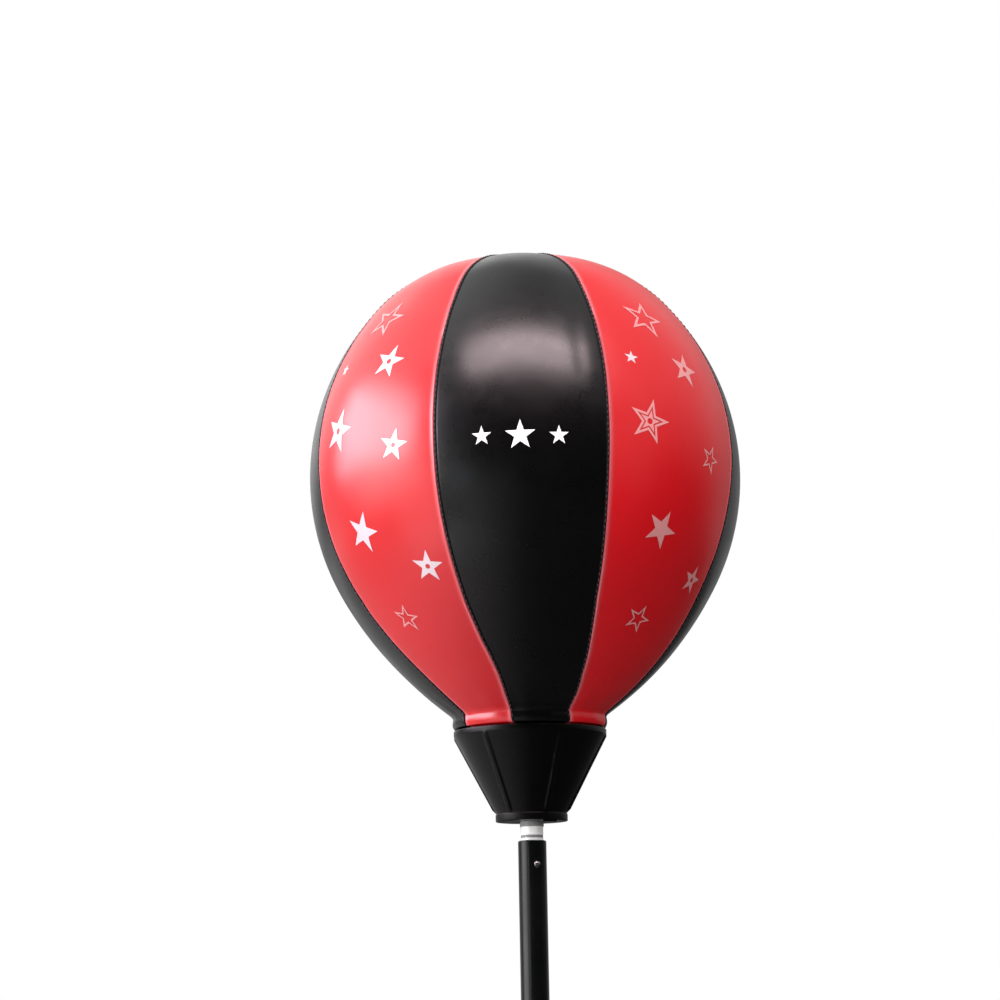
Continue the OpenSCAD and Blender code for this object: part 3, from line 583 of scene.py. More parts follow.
def arc_run(start_point, radius, start, end, up, n):
    """Points along an arc that leaves start_point and whose slope runs from start to end, in
    degrees from upright. up is 1 for an arc that rises and -1 for one that falls."""
    first = math.radians(start)
    return [(start_point[0] + radius * (math.cos(a) - math.cos(first)),
             start_point[1] + up * radius * (math.sin(a) - math.sin(first)))
            for a in np.radians(np.linspace(start, end, n + 1)[1:])]


# The arcs of the cover's outline: radius, and slope at the far end in degrees
SHOULDER_ARC = (142.0, 30.0)
CROWN_ARC = (112.0, 70.0)
BELLY_ARC = (140.0, 28.0)
CONE_ARC = (208.0, 52.5)


def cover_line():
    """The cover's outline from the crown down to its foot in the cup, belt at height 0."""
    belt = (BALL_R, 0.0)
    (shoulder_rho, shoulder_end), (crown_rho, crown_end) = SHOULDER_ARC, CROWN_ARC
    (belly_rho, belly_end), (cone_rho, cone_end) = BELLY_ARC, CONE_ARC
    shoulder = arc_run(belt, shoulder_rho, 0, shoulder_end, 1, 20)
    crown = arc_run(shoulder[-1], crown_rho, shoulder_end, crown_end, 1, 20)
    cap_rho = crown[-1][0] / math.cos(math.radians(crown_end))
    cap_end = math.degrees(math.acos(TIP_R / cap_rho))
    cap = arc_run(crown[-1], cap_rho, crown_end, cap_end, 1, 12)
    belly = arc_run(belt, belly_rho, 0, belly_end, -1, 20)
    cone = arc_run(belly[-1], cone_rho, belly_end, cone_end, -1, 26)
    fold_r = COLLAR_R + COLLAR_FOLD
    drop = (cone[-1][0] - fold_r) / math.tan(math.radians(cone_end))
    fold_z = cone[-1][1] - drop
    tail = rounded([cone[-1], (fold_r, fold_z, 2.6), (COLLAR_R, fold_z - COLLAR_FOLD, 1.6),
                    (COLLAR_R, COLLAR_FOOT_Z, 0.9), (TUCK_R, COLLAR_FOOT_Z, 0.9),
                    (TUCK_R - 0.2, COLLAR_FOOT_Z - 3.0)])[1:]
    return np.array(cap[::-1] + crown[::-1] + shoulder[::-1] + [belt] + belly + cone
                    + [tuple(p) for p in tail])


LINE = cover_line()
# Distance down the outline to each of its points, and to the collar's foot
STEPS = np.r_[0, np.cumsum(np.linalg.norm(np.diff(LINE, axis=0), axis=1))]
FOOT_LENGTH = float(STEPS[np.argmax(LINE[:, 1] <= COLLAR_FOOT_Z + 0.3)])
# The slope at a place is taken from this far on both sides of it
SLOPE_SPAN = 0.8


def line_at(length):
    """Radius, height and outward normal of the cover's outline at lengths along it."""
    length = np.asarray(length, float)
    (r, z), (r0, z0), (r1, z1) = (
        (np.interp(length + off, STEPS, LINE[:, 0]), np.interp(length + off, STEPS, LINE[:, 1]))
        for off in (0.0, -SLOPE_SPAN, SLOPE_SPAN))
    dr, dz = r1 - r0, z1 - z0
    size = np.hypot(dr, dz)
    return r, z, -dz / size, dr / size


def seam_twist(z):
    """How far the seams have crept round from their even places, in radians."""
    t = z / BALL_R
    still, first, second, third = SEAM_CREEP
    return np.radians(still + first * t + second * t ** 2 + third * t ** 3)


def seam_shift(seam, z):
    """How far a seam stands from its even place at a height, in degrees."""
    return np.interp(z, *SEAM_SHIFT[seam]) if seam in SEAM_SHIFT else 0.0


def gore_angles(panel, z):
    """The middle of a gore and half its width at a height, in radians."""
    left = panel * PITCH - PITCH / 2 + seam_shift((panel - 1) % PANELS, z)
    right = panel * PITCH + PITCH / 2 + seam_shift(panel, z)
    return np.radians((left + right) / 2), np.radians((right - left) / 2)


def ripple(x, y, seed):
    """A slow unevenness between about -1 and 1, the sum of a few waves."""
    rng = np.random.default_rng(seed)
    total = np.zeros(np.broadcast(x, y).shape)
    for k in range(7):
        u, v = rng.normal(size=2) * (1 + 0.25 * k)
        total = total + np.sin(u * x + v * y + rng.uniform(0, 6.28)) / (1 + 0.3 * k)
    return total / 3.0


# How far the leather stands off its outline: a gore's middle over its seams, the squarer
# shoulder, and the crown
GORE_BULGE = 0.9
SEAM_SINK = 0.8
SHOULDER_Z = 107.0
SHOULDER_RISE = 1.9
SHOULDER_SPAN = 15.0
CROWN_Z = (105.0, 125.0)
CROWN_RISE = 0.9
# Where the cover rounds out over the cup, in heights and radii, and how far it still puckers below
ROUND_Z = (-150.0, -90.0)
ROUND_R = (14.0, 64.0)
TIGHT_SHARE = 0.35
# The valley that a seam pulls, narrower on the black side
VALLEY_DEPTH = 1.6
RED_VALLEY_W = 0.62
BLACK_VALLEY_W = 0.42
# The red leather's turned edge beside it, which stands up most where the light comes at it
FOLD_RISE = 0.36
LEFT_FOLD_RISE = 0.62
FOLD_OFF = 1.5
FOLD_W = 0.6
# Puckers that run out from a seam, and slow waves over a whole gore
PUCKER_RISE = 0.16
PUCKER_REACH = 7.0
SLOW_RISE = 0.22
SLOW_FROM_SEAM = 25.0
# Gathers over the cup, and the hem at the collar's foot
GATHER_Z = (-143.0, -109.0)
GATHER_RISE = 0.1
FLARE_RISE = 0.6
FLARE_UP = (9.0, 3.0)
TUCK_DEPTH = 1.4
TUCK_UP = 3.6
# The crease on the front gore's right shoulder: where it fades in and out, and its place across
CREASE_FOOT_Z = (24.0, 40.0)
CREASE_TOP_Z = (98.0, 84.0)
CREASE_ACROSS = 37.0
CREASE_SLANT = 0.1
CREASE_DEPTH = 0.24
CREASE_W = 4.2
# Over these heights the ball's lean comes in
LEAN_Z = (-140.0, -104.0)


def seam_relief(panel, side, length, to_seam):
    """How far the leather stands off beside a seam: its valley and turned edge, and puckers."""
    red = panel % 2
    valley = VALLEY_DEPTH * np.exp(-(to_seam / (RED_VALLEY_W if red else BLACK_VALLEY_W)) ** 2)
    proud = np.where((panel == 1) & (side < 0), LEFT_FOLD_RISE, FOLD_RISE)
    fold = red * proud * np.exp(-((to_seam - FOLD_OFF) / FOLD_W) ** 2)
    pucker = np.exp(-to_seam / PUCKER_REACH) * (1 - np.exp(-to_seam / 1.2)) * ripple(
        length * 0.55, np.sign(side) * 2.0, 40 + panel) * PUCKER_RISE
    return fold - valley, pucker


def collar_relief(panel, side, length, z, over_foot):
    """Gathers over the cup, and a hem that flares a little, then tucks in over the rim."""
    near_cup = 1 - ramp(z, *GATHER_Z)
    gather = near_cup * ramp(over_foot, 0, 6) * GATHER_RISE * np.sin(
        side * 9.0 + ripple(length * 0.04, side, 45 + panel) * 2.0)
    flare = FLARE_RISE * ramp(over_foot, *FLARE_UP)
    tuck = TUCK_DEPTH * np.clip(1 - over_foot / TUCK_UP, 0, 1) ** 2
    return gather, flare, tuck


def shoulder_crease(across, z):
    """A shallow crease that runs down the front gore's right shoulder."""
    off = across - (CREASE_ACROSS - CREASE_SLANT * z)
    return CREASE_DEPTH * np.exp(-(off / CREASE_W) ** 2) * ramp(
        z, *CREASE_FOOT_Z) * ramp(z, *CREASE_TOP_Z)


def cover_point(panel, side, length, lift=0.0, filled=False):
    """A point of panel number panel, whose side runs from -1 at its left seam to 1 at its right,
    at a length down the outline. lift raises it off the leather, and filled leaves out the
    valleys along the seams."""
    r, z, nr, nz = line_at(length)
    side, r, z, nr, nz = np.broadcast_arrays(side, r, z, nr, nz)
    middle, half = gore_angles(panel, z)
    to_seam = (1 - np.abs(side)) * half * r
    over_foot = z - COLLAR_FOOT_Z - 0.2
    # The air pushes each gore out between its seams
    round_part = ramp(z, *ROUND_Z) * ramp(r, *ROUND_R)
    bulge = GORE_BULGE * (1 - side ** 2) - SEAM_SINK
    square = SHOULDER_RISE * np.exp(-((z - SHOULDER_Z) / SHOULDER_SPAN) ** 2) + (
        CROWN_RISE * ramp(z, *CROWN_Z))
    dip, pucker = seam_relief(panel, side, length, to_seam)
    slow = SLOW_RISE * ripple(length * 0.018, side * 1.6, 60 + panel) * ramp(
        to_seam, 0, SLOW_FROM_SEAM)
    gather, flare, tuck = collar_relief(panel, side, length, z, over_foot)
    out = bulge * round_part + slow * round_part + ((0 if filled else dip) + pucker) * (
        TIGHT_SHARE + (1 - TIGHT_SHARE) * round_part) * ramp(over_foot, 0, 3) + gather + lift
    out = out + square + flare - tuck
    if panel == 0:
        out = out - shoulder_crease(side * half * r, z)
    rr = r + nr * out
    zz = z + nz * out
    angle = middle + side * half + seam_twist(zz)
    x, y = rr * np.sin(angle), -rr * np.cos(angle)
    # The ball leans a little in its cup
    share = ramp(zz, *LEAN_Z)
    c, s = math.cos(LEAN), math.sin(LEAN)
    lx, lz = c * x + s * zz, -s * x + c * zz
    return np.stack([x + share * (lx - x), y, BELT_Z + zz + share * (lz - zz)], -1)


def side_stops(n):
    """Places across a gore, closer together near the seams."""
    even = np.linspace(-1, 1, n)
    return np.sign(even) * (1 - (1 - np.abs(even)) ** 2)


# How many points a panel has across, down to the collar, and down the collar's folds
ACROSS = 51
DOWN = 92
DOWN_COLLAR = 34
COLLAR_LENGTH = 24.0


def length_stops():
    """Places along the outline, closer together at the collar."""
    fold_start = STEPS[-1] - COLLAR_LENGTH
    return np.r_[np.linspace(0, fold_start, DOWN)[:-1],
                 np.linspace(fold_start, STEPS[-1], DOWN_COLLAR)]


# The painted highlight along a red panel's seams, a paler strip: its strength, and its place and
# width from the seam
EDGE_HIGHLIGHT_SHARE = 0.36
EDGE_HIGHLIGHT_OFF = 1.3
EDGE_HIGHLIGHT_W = 1.3
PANEL_NAMES = ["front", "front_right", "right", "rear_right", "rear", "rear_left", "left",
               "front_left"]


def make_panel(number):
    """One gore of the cover with its inner face, a thickness below the outer one."""
    name = PANEL_NAMES[number]
    sides, lengths = side_stops(ACROSS), length_stops()
    outer = cover_point(number, sides[None, :], lengths[:, None])
    rows, cols = outer.shape[:2]
    normal = np.cross(np.gradient(outer, axis=1), np.gradient(outer, axis=0))
    normal /= np.linalg.norm(normal, axis=-1, keepdims=True)
    centre = np.array([0, 0, BELT_Z])
    if np.mean(np.einsum("ijk,ijk->ij", normal, outer - centre)) < 0:
        normal = -normal
    inner = outer - normal * LEATHER_T * 0.9
    points = np.concatenate([outer.reshape(-1, 3), inner.reshape(-1, 3)])
    n = rows * cols
    faces = grid_faces(rows, cols, flip=True) + grid_faces(rows, cols, start=n)
    # The leather's cut edges, down both sides and then across both ends
    for i in range(rows - 1):
        a, b = i * cols, (i + 1) * cols
        faces.append((a, b, b + n, a + n))
        a, b = a + cols - 1, b + cols - 1
        faces.append((b, a, a + n, b + n))
    for j in range(cols - 1):
        faces.append((j + 1, j, j + n, j + 1 + n))
        a = (rows - 1) * cols + j
        faces.append((a, a + 1, a + 1 + n, a + n))
    red = number % 2 == 1
    piece = add_piece("cover_panel_" + name, points, faces,
                      RED_LEATHER if red else BLACK_LEATHER, "upper_pole",
                      "leather_red" if red else "leather_black", ["panel_" + name], 50)
    # A red panel gets a painted highlight along its seams
    if red:
        mark_painted_edge_highlights(piece, number, sides, lengths)


def mark_painted_edge_highlights(piece, number, sides, lengths):
    """Marks the strips along a red panel's seams that its leather's colour lightens into a painted
    highlight.
    """
    r, z = line_at(lengths[:, None])[:2]
    half = gore_angles(number, z)[1]
    to_seam = (1 - np.abs(sides[None, :])) * half * r
    strip = EDGE_HIGHLIGHT_SHARE * np.exp(-((to_seam - EDGE_HIGHLIGHT_OFF) / EDGE_HIGHLIGHT_W) ** 2)
    marks = piece.data.attributes.new("painted_edge_highlight", "FLOAT", "POINT")
    marks.data.foreach_set("value", np.r_[strip.ravel(), strip.ravel()])


# A stitch's thickness along it: share of its length, share of its radius
STITCH_SWELL = [(0.06, 0.7), (0.2, 1.0), (0.5, 1.0), (0.8, 1.0), (0.94, 0.7)]
STITCH_SIDES = 6


def capsule(start, end, up, radius):
    """A short round-ended thread from start to end, bowed along up."""
    start, end, up = (np.asarray(v, float) for v in (start, end, up))
    along = end - start
    along = along / np.linalg.norm(along)
    across = np.cross(along, up)
    across /= np.linalg.norm(across)
    upright = np.cross(across, along)
    sides = STITCH_SIDES
    points = [start]
    for t, width in STITCH_SWELL:
        middle = start + (end - start) * t + upright * radius * 0.9 * math.sin(math.pi * t)
        for k in range(sides):
            a = 2 * math.pi * k / sides
            points.append(middle + radius * width * (math.cos(a) * across + math.sin(a) * upright))
    points.append(end)
    faces = [(0, 1 + (k + 1) % sides, 1 + k) for k in range(sides)]
    faces += grid_faces(len(STITCH_SWELL), sides, wrap_cols=True, start=1)
    last = len(points) - 1
    row = last - sides
    faces += [(last, row + k, row + (k + 1) % sides) for k in range(sides)]
    return np.array(points), faces


# Across a seam, from the red side to the black, the near-black strip that lies in its groove as
# painted shade: distance from the seam, height off the leather
SEAM_SHADE_SECTION = [(-0.85, -0.9), (-0.78, -0.2), (-0.5, 0.3), (0.0, 0.5), (0.5, 0.42), (0.82, 0.05),
        (0.95, -0.3), (0.6, -1.4), (-0.5, -1.5)]
SEAM_SHADE_START = 9.0
SEAM_SHADE_STEP = 1.2
# The stitches along a seam's dark strip, and those round the crown patch
STITCH_START = 15.0
STITCH_PITCH = 3.3
STITCH_L = 2.0
STITCH_R = 0.24
STITCH_LIFT = 0.38
PATCH_STITCHES = 34
PATCH_STITCH_AT = 12.0
PATCH_STITCH_TURN = 0.13
PATCH_STITCH_R = 0.3


def seam_place(seam, off, length, lift):
    """A point beside the seam at the right of panel number seam. off runs towards the black."""
    red_first = seam % 2 == 1
    half = math.radians(PITCH / 2)
    reach = abs(off) / (half * np.interp(length, STEPS, LINE[:, 0]))
    if (off < 0) == red_first:
        return cover_point(seam, 1 - reach, length, lift, True)
    return cover_point((seam + 1) % PANELS, -1 + reach, length, lift, True)


def make_seam_shade_strips():
    """A matt near-black strip along the valley of each seam: painted shade that draws the seam as
    a dark line.
    """
    parts = []
    lengths = np.arange(SEAM_SHADE_START, FOOT_LENGTH + SEAM_SHADE_STEP / 2, SEAM_SHADE_STEP)
    for seam in range(PANELS):
        rows = np.stack([seam_place(seam, off, lengths, lift) for off, lift in SEAM_SHADE_SECTION], 1)
        strip = rows.reshape(-1, 3)
        faces = tube_faces(len(lengths), len(SEAM_SHADE_SECTION))
        parts.append((strip, outward(strip, faces)))
    add_piece("seam_shade_strips", *joined(parts), SEAM_SHADE_BLACK, "upper_pole", "leather_black", (), 60)


def make_seam_threads():
    """The row of short stitches that shows along each seam's dark strip."""
    parts = []
    for seam in range(PANELS):
        for length in np.arange(STITCH_START, FOOT_LENGTH - 3.0, STITCH_PITCH):
            start = seam_place(seam, 0.05, length, STITCH_LIFT)
            end = seam_place(seam, 0.05, length + STITCH_L, STITCH_LIFT)
            up = seam_place(seam, 0.1, length, 2.0) - start
            parts.append(capsule(start, end, up, STITCH_R))
    add_piece("seam_threads", *joined(parts), THREAD, "upper_pole", "leather_black", (), 60)


# The sphere that the crown patch lies on, and the height of its top over the belt
CROWN_SPHERE_R = 135.33
CROWN_TOP = 128.41
# The patch from its middle over its turned edge and back underneath: radius, height
PATCH_PROFILE = [(0.0, 1.55), (4.0, 1.5), (8.0, 1.4), (10.2, 1.25), (11.2, 0.95), (12.0, 0.9),
                 (12.8, 1.1), (13.8, 1.22), (14.6, 1.1), (15.0, 0.7), (15.0, 0.25), (14.6, 0.05),
                 (12.0, 0.05), (6.0, 0.05), (0.0, 0.05)]
PATCH_SEGMENTS = 72


def patch_point(radius, angle, lift):
    """A point over the crown, where the round patch lies on the panels' tips."""
    radius = np.asarray(radius, float)
    z = CROWN_TOP - CROWN_SPHERE_R + np.sqrt(CROWN_SPHERE_R ** 2 - radius ** 2) + lift
    x, y = radius * np.sin(angle), -radius * np.cos(angle)
    c, s = math.cos(LEAN), math.sin(LEAN)
    return np.stack(np.broadcast_arrays(c * x + s * z, y, BELT_Z - s * x + c * z), -1)


def make_crown_patch():
    """A round leather patch with a turned edge and a ring of stitches."""
    segments = PATCH_SEGMENTS
    angles = np.arange(segments) * 2 * math.pi / segments
    # Its edge is a little uneven on top
    rings = [patch_point(np.full(segments, r), angles,
                         lift + 0.06 * np.sin(angles * 5 + 1) * (r > 9) * (lift > 0.3))
             for r, lift in PATCH_PROFILE[1:-1]]
    points = [patch_point(0.0, 0.0, PATCH_PROFILE[0][1])] + [p for ring in rings for p in ring]
    points.append(patch_point(0.0, 0.0, PATCH_PROFILE[-1][1]))
    faces = [(0, 1 + k, 1 + (k + 1) % segments) for k in range(segments)]
    faces += grid_faces(len(rings), segments, wrap_cols=True, start=1, flip=True)
    row, last = 1 + (len(rings) - 1) * segments, len(points) - 1
    faces += [(last, row + (k + 1) % segments, row + k) for k in range(segments)]
    add_piece("crown_patch_leather", points, faces, BLACK_LEATHER, "upper_pole",
              "leather_black", ["crown_patch"], 50)
    threads = []
    for k in range(PATCH_STITCHES):
        a = 2 * math.pi * k / PATCH_STITCHES
        start = patch_point(PATCH_STITCH_AT, a, 1.0)
        end = patch_point(PATCH_STITCH_AT, a + PATCH_STITCH_TURN, 1.0)
        threads.append(capsule(start, end, (0, 0, 1), PATCH_STITCH_R))
    add_piece("crown_patch_thread", *joined(threads), THREAD, "upper_pole", "leather_black",
              (), 60)


# The bladder lies this far inside the cover, ends this far above the outline's foot, and has a
# rib round its belt
BLADDER_GAP = 4.0
BLADDER_FOOT_UP = 34.0
BELT_RIB_RISE = 0.35
BELT_RIB_W = 1.2


def make_bladder():
    """The rubber bladder inside the cover, with the rib its mould leaves round the belt."""
    r, z, nr, nz = line_at(np.linspace(2.0, STEPS[-1] - BLADDER_FOOT_UP, 60))
    inside = [(float(a), float(b)) for a, b in zip(r - nr * BLADDER_GAP, z - nz * BLADDER_GAP)]
    foot_r, foot_z = inside[-1]
    skin = [(0.0, inside[0][1] + 0.6)] + inside
    skin += [(foot_r - 2.5, foot_z - 1.6), (foot_r - 8.0, foot_z - 2.8), (0.0, foot_z - 3.0)]
    profile = [(r, BELT_Z + z) for r, z in skin][::-1]

    def belt_rib(r, z, _):
        return r + BELT_RIB_RISE * np.exp(-((z - BELT_Z) / BELT_RIB_W) ** 2), z

    piece = turned("bladder_skin", profile, BLADDER_RUBBER, "upper_pole", "bladder_rubber",
                   ["bladder"], 72, reshape=belt_rib)


# ---------------------------------------------------------------- prints

STAR_POINTS = 5
STAR_INNER_R = 0.39
# A star's cut-outs, as shares of its size
OUTLINE_CUT = 0.68
DOT_R = 0.15
DOUBLE_STAR = 0.5
DOUBLE_DOT_R = 0.13
DOT_CORNERS = 16


def star_outline():
    """The corners of a star whose tips are 1 from its middle."""
    corners = []
    for k in range(STAR_POINTS * 2):
        radius = 1.0 if k % 2 == 0 else STAR_INNER_R
        a = math.pi * k / STAR_POINTS
        corners.append((radius * math.sin(a), radius * math.cos(a)))
    return np.array(corners)


def flat_shape(outer, holes=()):
    """Triangles of a flat shape with holes, fine enough to lie on the ball."""
    bm = bmesh.new()
    for loop in [outer, *holes]:
        made = [bm.verts.new((p[0], p[1], 0.0)) for p in loop]
        for k in range(len(made)):
            bm.edges.new((made[k], made[(k + 1) % len(made)]))
    bmesh.ops.triangle_fill(bm, use_beauty=True, use_dissolve=False, edges=bm.edges[:])
    bmesh.ops.subdivide_edges(bm, edges=bm.edges[:], cuts=2, use_grid_fill=True)
    bmesh.ops.triangulate(bm, faces=bm.faces[:])
    bm.verts.ensure_lookup_table()
    points = np.array([v.co[:2] for v in bm.verts])
    faces = []
    for f in bm.faces:
        loop = [v.index for v in f.verts]
        faces.append(tuple(loop if f.normal.z > 0 else loop[::-1]))
    bm.free()
    return points, faces


def dot(radius):
    """The outline of a round hole in a star's middle."""
    a = np.arange(DOT_CORNERS) * 2 * math.pi / DOT_CORNERS
    return np.stack([radius * np.sin(a), radius * np.cos(a)], -1)


def star_shape(kind):
    """A flat star: solid, dotted with a hole, an outline, or double, one star in another."""
    star = star_outline()
    if kind == "outline":
        return flat_shape(star, [star * OUTLINE_CUT])
    if kind == "dotted":
        return flat_shape(star, [dot(DOT_R)])
    if kind == "double":
        return joined([flat_shape(star, [star * OUTLINE_CUT]),
                       flat_shape(star * DOUBLE_STAR, [dot(DOUBLE_DOT_R)])])
    return flat_shape(star)


# Ink lies this far over the leather
INK_LIFT = 0.12


def lay_print(shape, panel, azimuth, height, size, turn):
    """Lays a flat shape on a panel. azimuth is from the front towards the right in degrees,
    height is from the belt, and size is the distance from the shape's middle to its tip."""
    points, faces = shape
    c, s = math.cos(math.radians(turn)), math.sin(math.radians(turn))
    across = (points[:, 0] * c + points[:, 1] * s) * size
    down = -(-points[:, 0] * s + points[:, 1] * c) * size
    length = float(np.interp(-height, -LINE[:, 1], STEPS)) + down
    r = line_at(length)[0]
    middle_angle, half = gore_angles(panel, height)
    centre = math.radians(azimuth) - middle_angle - float(seam_twist(np.array(height)))
    centre = (centre + math.pi) % (2 * math.pi) - math.pi
    return cover_point(panel, (centre + across / r) / half, length, INK_LIFT), faces


# Each print: kind, azimuth, height over the belt, size, turn
LEFT_OUTLINES = [
    ("outline", -48.0, 80.0, 13.6, 18.7),
    ("outline", -46.4, -88.4, 8.9, 18.7),
]
LEFT_STARS = [
    ("dotted", -39.3, 50.6, 10.8, 18.0),
    ("solid", -61.1, 54.9, 4.2, 12.0),
    ("dotted", -56.8, 17.1, 13.2, 18.7),
    ("dotted", -35.0, 0.9, 9.4, 13.9),
    ("solid", -50.0, -41.8, 12.1, 24.5),
    ("dotted", -30.4, -65.0, 9.5, 10.9),
]
RIGHT_SMALL_STAR = [("solid", 31.0, 45.3, 4.4, 10.0)]
RIGHT_STARS = [
    ("outline", 41.2, 72.1, 14.0, 17.8),
    ("dotted", 50.0, 42.8, 10.9, 16.3),
    ("double", 33.5, 8.4, 13.3, 15.3),
    ("outline", 55.6, -7.2, 8.7, 20.2),
    ("solid", 38.8, -48.8, 11.2, 25.3),
    ("dotted", 59.4, -71.5, 8.9, 10.0),
    ("outline", 40.9, -94.0, 8.9, 20.9),
]
FRONT_STARS = [
    ("solid", -10.6, -0.4, 5.6, 0.0),
    ("solid", -1.0, -1.0, 8.6, 0.0),
    ("solid", 8.6, -1.6, 5.6, 0.0),
]


def make_prints(name, panel, stars, material, slot):
    """Stars of one ink on one panel. Each is a kind, azimuth, height, size and turn."""
    parts = [lay_print(star_shape(kind), panel, *place) for kind, *place in stars]
    add_piece(name, *joined(parts), material, "upper_pole", slot, (), 80)


# ---------------------------------------------------------------- cup and neck

def ribs_round(r, a, count, first, half_width, edge):
    """How high ribs stand at angles a, from 0 between them to 1 on their backs."""
    rise = np.zeros_like(r)
    for k in range(count):
        at = math.radians(first + 360.0 * k / count)
        off = np.abs((a - at + math.pi) % (2 * math.pi) - math.pi) * r
        rise = np.maximum(rise, smoothstep((half_width - off) / edge))
    return rise


# The gate mark under the cup's lip
GATE_ANGLE = math.radians(31.0)
GATE_HALF_W = 5.0
GATE_DROP = 1.2
CUP_BORE_R = FOOT_R - 12.0
CUP_FLOOR_H = 8.0
CUP_WALL = 2.6
# The cup's inside narrows in two steps: how far in from its rim's radius, and how far down
CUP_INSIDE = [(8.0, 12.0), (16.0, 30.0)]
CUP_INSIDE_FOOT_R = 12.0
# A rib's back is this much narrower at its top, as a share
RIB_TAPER = 0.2


def make_cup():
    """The ribbed cup, its rim band, lower lip and the gate mark under the lip."""
    rim_z, lip_z = CUP_Z + CUP_H, CUP_Z + LIP_H
    band_z, floor_z = rim_z - RIM_BAND_H, CUP_Z + CUP_FLOOR_H
    profile = [(CUP_BORE_R, CUP_Z, 0.3), (LIP_R, CUP_Z, 0.5), (LIP_R, lip_z, 0.5),
               (FOOT_R, lip_z + 0.25, 0.4)]
    profile += [(FOOT_R + (RIM_R - FOOT_R) * t, lip_z + (CUP_H - LIP_H - RIM_BAND_H) * t)
                for t in np.linspace(0.06, 0.97, 16)]
    profile += [(RIM_R, band_z, 0.7), (RIM_R, rim_z, 0.6), (RIM_R - CUP_WALL, rim_z, 0.5)]
    profile += [(RIM_R - inwards, rim_z - down) for inwards, down in CUP_INSIDE]
    profile += [(CUP_INSIDE_FOOT_R, floor_z), (CUP_BORE_R, floor_z)]

    def ribs(r, z, a):
        outside = (r > FOOT_R - 0.8) & (z > lip_z + 0.2) & (z < band_z + 0.3)
        share = smoothstep((z - lip_z - 0.3) / 1.2) * smoothstep((band_z + 0.2 - z) / 1.5)
        taper = 1.0 - RIB_TAPER * np.clip((z - lip_z) / (band_z - lip_z), 0, 1)
        rise = ribs_round(r, a, RIB_COUNT, RIB_PHASE, RIB_W / 2 + 0.45, 1.0)
        r = np.where(outside, r + rise * RIB_RISE * share * taper, r)
        near = np.abs(a - GATE_ANGLE) * LIP_R
        drop = smoothstep((GATE_HALF_W - near) / 0.6) * (z < CUP_Z + 0.6) * (r > FOOT_R - 3)
        return r, z - GATE_DROP * drop

    turned("ribbed_cup", profile, CUP_PLASTIC, "upper_pole", "cup_plastic", ["ball_cup"],
           360, closed=True, reshape=ribs, sharp=40)


# The neck's rolled groove: height over the pole's top, its depth and its width
GROOVE_UP = 1.45
GROOVE_DEPTH = 0.7
GROOVE_W = 1.7
NECK_WALL = 1.2
NECK_IN_POLE = 36.0
NECK_IN_CUP = 4.8
SHADE_RING_H = 2.9


def make_neck():
    """The plated neck with its rolled groove over the pole, and two grey rings of painted shade:
    one in the groove, and one on top under the cup, in place of the seal node.
    """
    # A grey ring round the neck, laid as painted shade
    def ring(name, inner_r, outer_r, foot, top, radius, nodes=()):
        profile = [(inner_r, foot, 0.2), (outer_r, foot, radius), (outer_r, top, radius),
                   (inner_r, top, 0.2)]
        turned(name, profile, PAINTED_SHADE_GREY, "upper_pole", "rubber_black", nodes, 64, closed=True)

    top, foot = CUP_Z + NECK_IN_CUP, POLE_TOP_Z - NECK_IN_POLE
    groove = POLE_TOP_Z + GROOVE_UP
    bore_r, groove_r = NECK_R - NECK_WALL, NECK_R - GROOVE_DEPTH
    neck = [(bore_r, foot, 0.3), (NECK_R, foot, 0.4), (NECK_R, groove, 0.15),
            (groove_r, groove + 0.1), (groove_r, groove + GROOVE_W - 0.1),
            (NECK_R, groove + GROOVE_W, 0.15), (NECK_R, top, 0.4), (bore_r, top, 0.3)]
    turned("plated_neck", neck, PLATED, "upper_pole", "plated_steel", ["neck_stub"], 64,
           closed=True)
    # In the groove: a grey ring that darkens the groove's line, painted shade
    ring("neck_groove_shade_ring", NECK_R - 0.68, NECK_R - 0.1, groove + 0.15,
         groove + GROOVE_W - 0.15, 0.35)
    # Under the cup, where the cup's shadow falls: a grey ring, painted shade
    ring("neck_shade_ring", NECK_R + 0.05, NECK_R + 0.4, CUP_Z - SHADE_RING_H, CUP_Z - 0.05, 0.2,
         ["neck_seal"])


